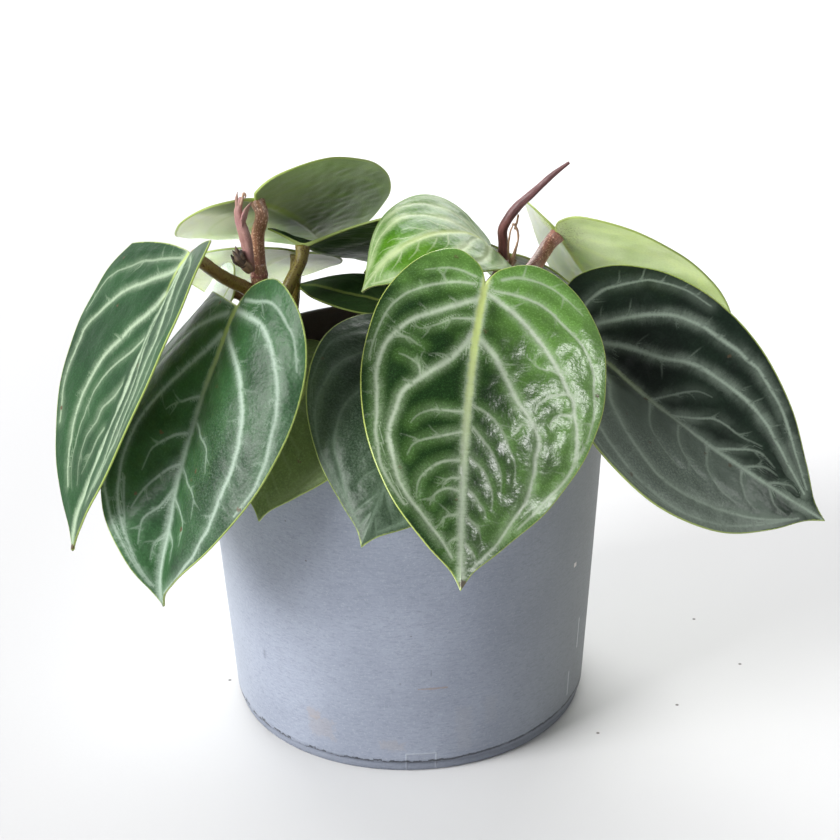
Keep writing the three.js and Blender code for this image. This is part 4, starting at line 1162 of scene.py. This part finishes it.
def pot_material():
    """Recycled grey plastic with grain, smears, scratches and a jagged mould line at the foot."""
    s = Shader("pot_plastic")
    here = s.position(1 / MM)
    x, y, z = s.split(here)
    arc = s.math("ARCTAN2", x, y * -1.0) * POT_ARC_RADIUS
    streak = s.noise(s.join(x * 0.12, y * 0.12, z * 1.5), 1.0, 5.0, 0.75)
    fine = s.noise(s.join(x * 0.5, y * 0.5, z * 1.9), 1.0, 4.0, 0.8)
    cloud = s.noise(here, 0.035, 4.0, 0.55)
    base = s.mix(s.step(cloud, 0.3, 0.7), rgb(131, 138, 153), rgb(143, 150, 165))
    base = s.mix(s.step(streak, 0.4, 0.75, 0.0, 0.3), base, rgb(156, 163, 177))
    base = s.mix(s.step(fine, 0.46, 0.68, 0.0, 0.6), base, rgb(113, 120, 134))
    base = s.mix(s.step(s.noise(here, 1.5, 3.0, 0.8), 0.5, 0.72, 0.0, 0.5), base, rgb(165, 171, 182))
    # painted shade darkens the wall towards the right, and painted light brightens it towards the left
    base = s.mix(s.step(x, 14.0, 60.0, 0.0, 0.75), base, rgb(108, 111, 105))
    base = s.mix(s.step(x, -40.0, -60.0, 0.0, 0.35), base, rgb(176, 182, 190))
    rough_edge = s.noise(here, 0.5, 4.0, 0.75) - 0.5

    for at, height, half_width, half_height, colour, share, soft, fray in BLEMISHES:
        away = s.math("MAXIMUM", abs(arc - at) - half_width, abs(z - height) - half_height)
        base = s.mix(s.step(away + rough_edge * fray, soft, 0.0, 0.0, share), base, rgb(*colour))
    # the mould mark, a thin raised outline that opens downwards
    frame_gap = s.math("MAXIMUM", abs(arc - 3.3) - 4.5, z - 6.6)
    frame_line = s.step(abs(frame_gap), 0.4, 0.1)
    base = s.mix(frame_line * 0.45, base, rgb(180, 186, 196))
    base = s.mix(s.step(frame_gap, 0.0, -0.5) * 0.15, base, rgb(120, 126, 138))
    # the jagged dark line above the foot, and specks
    steps = s.cells(s.join(arc * 0.28, 0.0, 4.0), 1.0, part="Color") - 0.5
    level = steps * 1.5 + rough_edge * 3.4
    level = level * s.step(x, -24.0, 24.0, 1.0, 0.3)
    level = level + s.step(x, 0.0, 50.0, 0.3, 1.5)
    seam = s.step(abs(z - (level + 3.4)), 0.6, 0.1)
    seam = seam * s.step(s.noise(here, 0.25, 2.0), 0.3, 0.45, 0.65, 1.0)
    base = s.mix(seam * 0.9, base, rgb(38, 40, 46))
    # painted shade: below the line the wall is darker, as in the shade of the stepped foot
    base = s.mix(s.step(z - level, 3.6, 2.8, 0.0, 0.5), base, rgb(94, 99, 110))
    speck = s.step(s.cells(here, 0.16), 0.07, 0.03)
    base = s.mix(speck * s.step(cloud, 0.45, 0.6, 0.0, 0.7), base, rgb(84, 80, 82))
    # the inside of the wall is stained by the peat
    inside = POT["foot"] - 0.9 + z * WALL_SLOPE - s.vector("LENGTH", s.join(x, y))
    inside = s.step(inside, 0.0, 0.3) * s.step(z, 1.0, 4.0)
    stain = s.mix(s.noise(here, 0.4, 4.0, 0.7), rgb(52, 34, 28), rgb(86, 66, 56))
    base = s.mix(inside * 0.85, base, stain)
    bumps = s.bump(streak, 0.2, 0.0002)
    bumps = s.bump(fine, 0.35, 0.0002, bumps)
    bumps = s.bump(seam, -0.5, 0.0004, bumps)
    bumps = s.bump(frame_line, 0.4, 0.0003, bumps)
    rough = fine * 0.25 + 0.4
    return s.surface(base, rough, bumps, Specular_IOR_Level=0.4)


def soil_material():
    s = Shader("peat")
    here = s.position(1 / MM)
    fibre = s.field("fibre")
    base = s.mix(s.step(s.noise(here, 0.5, 4.0, 0.7), 0.35, 0.7), rgb(28, 16, 12), rgb(62, 36, 26))
    base = s.mix(s.step(s.noise(here, 2.2, 3.0, 0.7), 0.55, 0.8, 0.0, 0.6), base, rgb(98, 66, 46))
    base = s.mix(fibre * 0.7, base, rgb(112, 74, 48))
    bumps = s.bump(s.noise(here, 1.2, 5.0, 0.75), 1.0, 0.0012)
    return s.surface(base, 0.95, bumps, Specular_IOR_Level=0.2)


# ---- build ---------------------------------------------------------------------------------------

FINE = {"leaf_front", "leaf_front_left", "leaf_far_left", "leaf_right", "leaf_front_mid", "leaf_young",
        "leaf_low_left", "leaf_back_left", "leaf_back_right"}

for number, (name, leaf) in enumerate(LEAVES.items()):
    look = name.replace("leaf_", "")
    top = leaf_top(look + "_top", **{**TOPS, **OTHER_TOPS}.get(name, DARK_TOP))
    under = leaf_under(look + "_under", **UNDERS.get(name, PALE_UNDER))
    piece = make_leaf(name, leaf, [top, under], *(FINE_SEGMENTS if name in FINE else SEGMENTS),
                      SEEDS["leaf"] + number)
    place(piece, "young" if name == "leaf_young" else "leaf", name)

# Colours of each skin: dark and light ground, the greener ground, pale dots and dark dots; how strong the
# dots are, and the gloss.
stem_skin, spike_skin, *curl_skins = [stem_material(*look) for look in (
    ("stem_skin", (124, 76, 72), (170, 112, 102), (138, 126, 54), (232, 192, 162), (84, 34, 18), 0.85, 0.36),
    ("spike_skin", (78, 44, 46), (112, 70, 70), (150, 112, 90), (132, 92, 90), (72, 42, 46), 0.3, 0.4),
    ("bract_skin", (138, 92, 96), (176, 130, 130), (172, 142, 118), (204, 162, 158), (96, 60, 54), 0.3, 0.5),
    ("bud_skin", (150, 122, 92), (118, 92, 68), (32, 22, 22), (164, 130, 100), (70, 52, 48), 0.4, 0.6),
    ("tan_skin", (150, 116, 92), (186, 152, 122), (120, 92, 66), (206, 176, 146), (96, 64, 46), 0.4, 0.6),
)]
for number, (name, (trunk, radii, stalks)) in enumerate(SHOOTS.items()):
    place(make_shoot(name + "_stem", trunk, radii, stalks, stem_skin, SEEDS["shoot"] + number), "stem", name)

line, length = centripetal(SPIKE[0], TRUNK_ROWS)
points, faces, marks = sweep(line, spread(SPIKE[1], TRUNK_ROWS), 28, np.random.default_rng(SEEDS["spike"]), 0.03)
hue = 0.75 * smoothstep(3.5, 0, marks[:, 0])
spike = [(points, faces, {"mark": np.c_[marks, 0 * marks[:, 0]], "hue": hue})]
place(mesh_of("flower_spike_piece", spike, spike_skin), "spike", "flower_spike")
for (node, tubes), skin in zip(CURLS.items(), curl_skins):
    rng = np.random.default_rng(len(node))
    parts = []
    for points, radii, flat, zone in tubes:
        line, length = centripetal(points, CURL_ROWS)
        points, faces, marks = sweep(line, spread(radii, CURL_ROWS), 20, rng, 0.08, flat)
        hue = np.clip(zone + 0.25 * lumps(points, rng, 0.2, 0.5), 0, 1)
        parts.append((points, faces, {"mark": np.c_[marks, np.full(len(marks), rng.uniform(0, 9))], "hue": hue}))
    place(mesh_of(node + "_piece", parts, skin), node.split("_")[0], node)

place(make_pot(pot_material()), "pot", "pot")
place(make_soil(soil_material()), "soil", "soil")

# ---- floor, light and camera ---------------------------------------------------------------------

# Dark specks on the paper, in metres, and half the side of the paper in millimetres.
FLOOR_SPECKS = ((0.0939, 0.0296), (0.1048, 0.0016), (0.0564, -0.0354), (-0.0569, -0.0024), (0.082, -0.021))
FLOOR_HALF = 4000

# The room's brightness along x, y and z: from, to, brightness there. It is darker towards the front and the
# right, where nothing bright stands, and overhead.
ROOM = ((-0.5, 0.85, 1.1, 0.8), (-0.7, 0.5, 0.6, 1.0), (0.2, 0.85, 1.05, 0.2))

# Place, aim, size and power of each light, and whether it lights surfaces or only shows in their gloss.
LIGHTS = {
    "window": ((-1.2, -0.64, 0.8), (0, 0, 0.08), (0.8, 0.8), 35, True),
    "side": ((0.93, -0.40, 0.98), (0.03, 0, 0.12), (0.2, 0.2), 5.5, False),
    "back": ((-0.1, 1.4, 1.0), (0, 0.2, 0.03), (2.0, 1.0), 38, True),
}

# The photograph's view: tilt down on the pot, roll, target, distance, lens and sensor.
TILT, ROLL = math.radians(25.2), math.radians(-1.03)
TARGET, DISTANCE = Vector((0.0046, 0, 0.0884)), 0.5908
LENS, SENSOR = 85, 36


def make_floor():
    s = Shader("floor_paper")
    here = s.position()
    x, y, _ = s.split(here)
    # the paper is painted darker on the left and lighter on the right to even out the light on it, and takes
    # one tone beyond a soft slanting line, a painted change of light where a backdrop would rise from the floor
    line = x * 0.42 + (y - 0.40)
    near = s.mix(s.step(x, -0.15, 0.03), rgb(184, 184, 185), rgb(220, 220, 221))
    base = s.mix(s.step(line, -0.04, 0.06), near, rgb(218, 218, 218))
    base = s.mix(s.noise(here, 900.0, 2.0) * 0.06, base, rgb(225, 226, 228))
    for at in FLOOR_SPECKS:
        gap = s.vector("DISTANCE", s.join(x, y), s.join(*at))
        base = s.mix(s.step(gap, 0.0007, 0.0003, 0.0, 0.85), base, rgb(70, 64, 60))
    corners = [(x * FLOOR_HALF, y * FLOOR_HALF, 0) for x, y in ((-1, -1), (1, -1), (1, 1), (-1, 1))]
    mesh_object("floor", corners, [[0, 1, 2, 3]], [s.surface(base, 0.6, Specular_IOR_Level=0.25)])


def make_room():
    room = bpy.data.worlds.new("white_room")
    room.use_nodes = True
    nodes, links = room.node_tree.nodes, room.node_tree.links
    way = nodes.new("ShaderNodeSeparateXYZ")
    links.new(nodes.new("ShaderNodeTexCoord").outputs["Generated"], way.inputs[0])
    strength = None
    for axis, values in enumerate(ROOM):
        ramp = nodes.new("ShaderNodeMapRange")
        links.new(way.outputs[axis], ramp.inputs[0])
        for i, value in enumerate(values):
            ramp.inputs[1 + i].default_value = value
        if strength is None:
            strength = ramp.outputs[0]
            continue
        both = nodes.new("ShaderNodeMath")
        both.operation = "MULTIPLY"
        links.new(strength, both.inputs[0])
        links.new(ramp.outputs[0], both.inputs[1])
        strength = both.outputs[0]
    background = nodes["Background"]
    background.inputs[0].default_value = (1, 1, 1, 1)
    links.new(strength, background.inputs[1])
    bpy.context.scene.world = room


def make_light(name, at, aim, size, power, diffuse):
    data = bpy.data.lights.new(name, "AREA")
    data.shape, data.size, data.size_y = "RECTANGLE", size[0], size[1]
    data.energy = power
    lamp = bpy.data.objects.new(name, data)
    bpy.context.scene.collection.objects.link(lamp)
    lamp.location = at
    lamp.rotation_euler = (Vector(aim) - Vector(at)).to_track_quat("-Z", "Y").to_euler()
    lamp.visible_diffuse = diffuse


def make_camera():
    data = bpy.data.cameras.new("photo_camera")
    data.lens, data.sensor_width = LENS, SENSOR
    camera = bpy.data.objects.new("photo_camera", data)
    bpy.context.scene.collection.objects.link(camera)
    right, up = Vector((1, 0, 0)), Vector((0, math.sin(TILT), math.cos(TILT)))
    back = Vector((0, -math.cos(TILT), math.sin(TILT)))
    across = right * math.cos(ROLL) + up * math.sin(ROLL)
    above = up * math.cos(ROLL) - right * math.sin(ROLL)
    matrix = Matrix((across, above, back)).transposed().to_4x4()
    matrix.translation = TARGET + back * DISTANCE
    camera.matrix_world = matrix
    bpy.context.scene.camera = camera


make_floor()
make_room()
for name, settings in LIGHTS.items():
    make_light(name, *settings)
make_camera()
bpy.context.scene.view_settings.view_transform = "Standard"
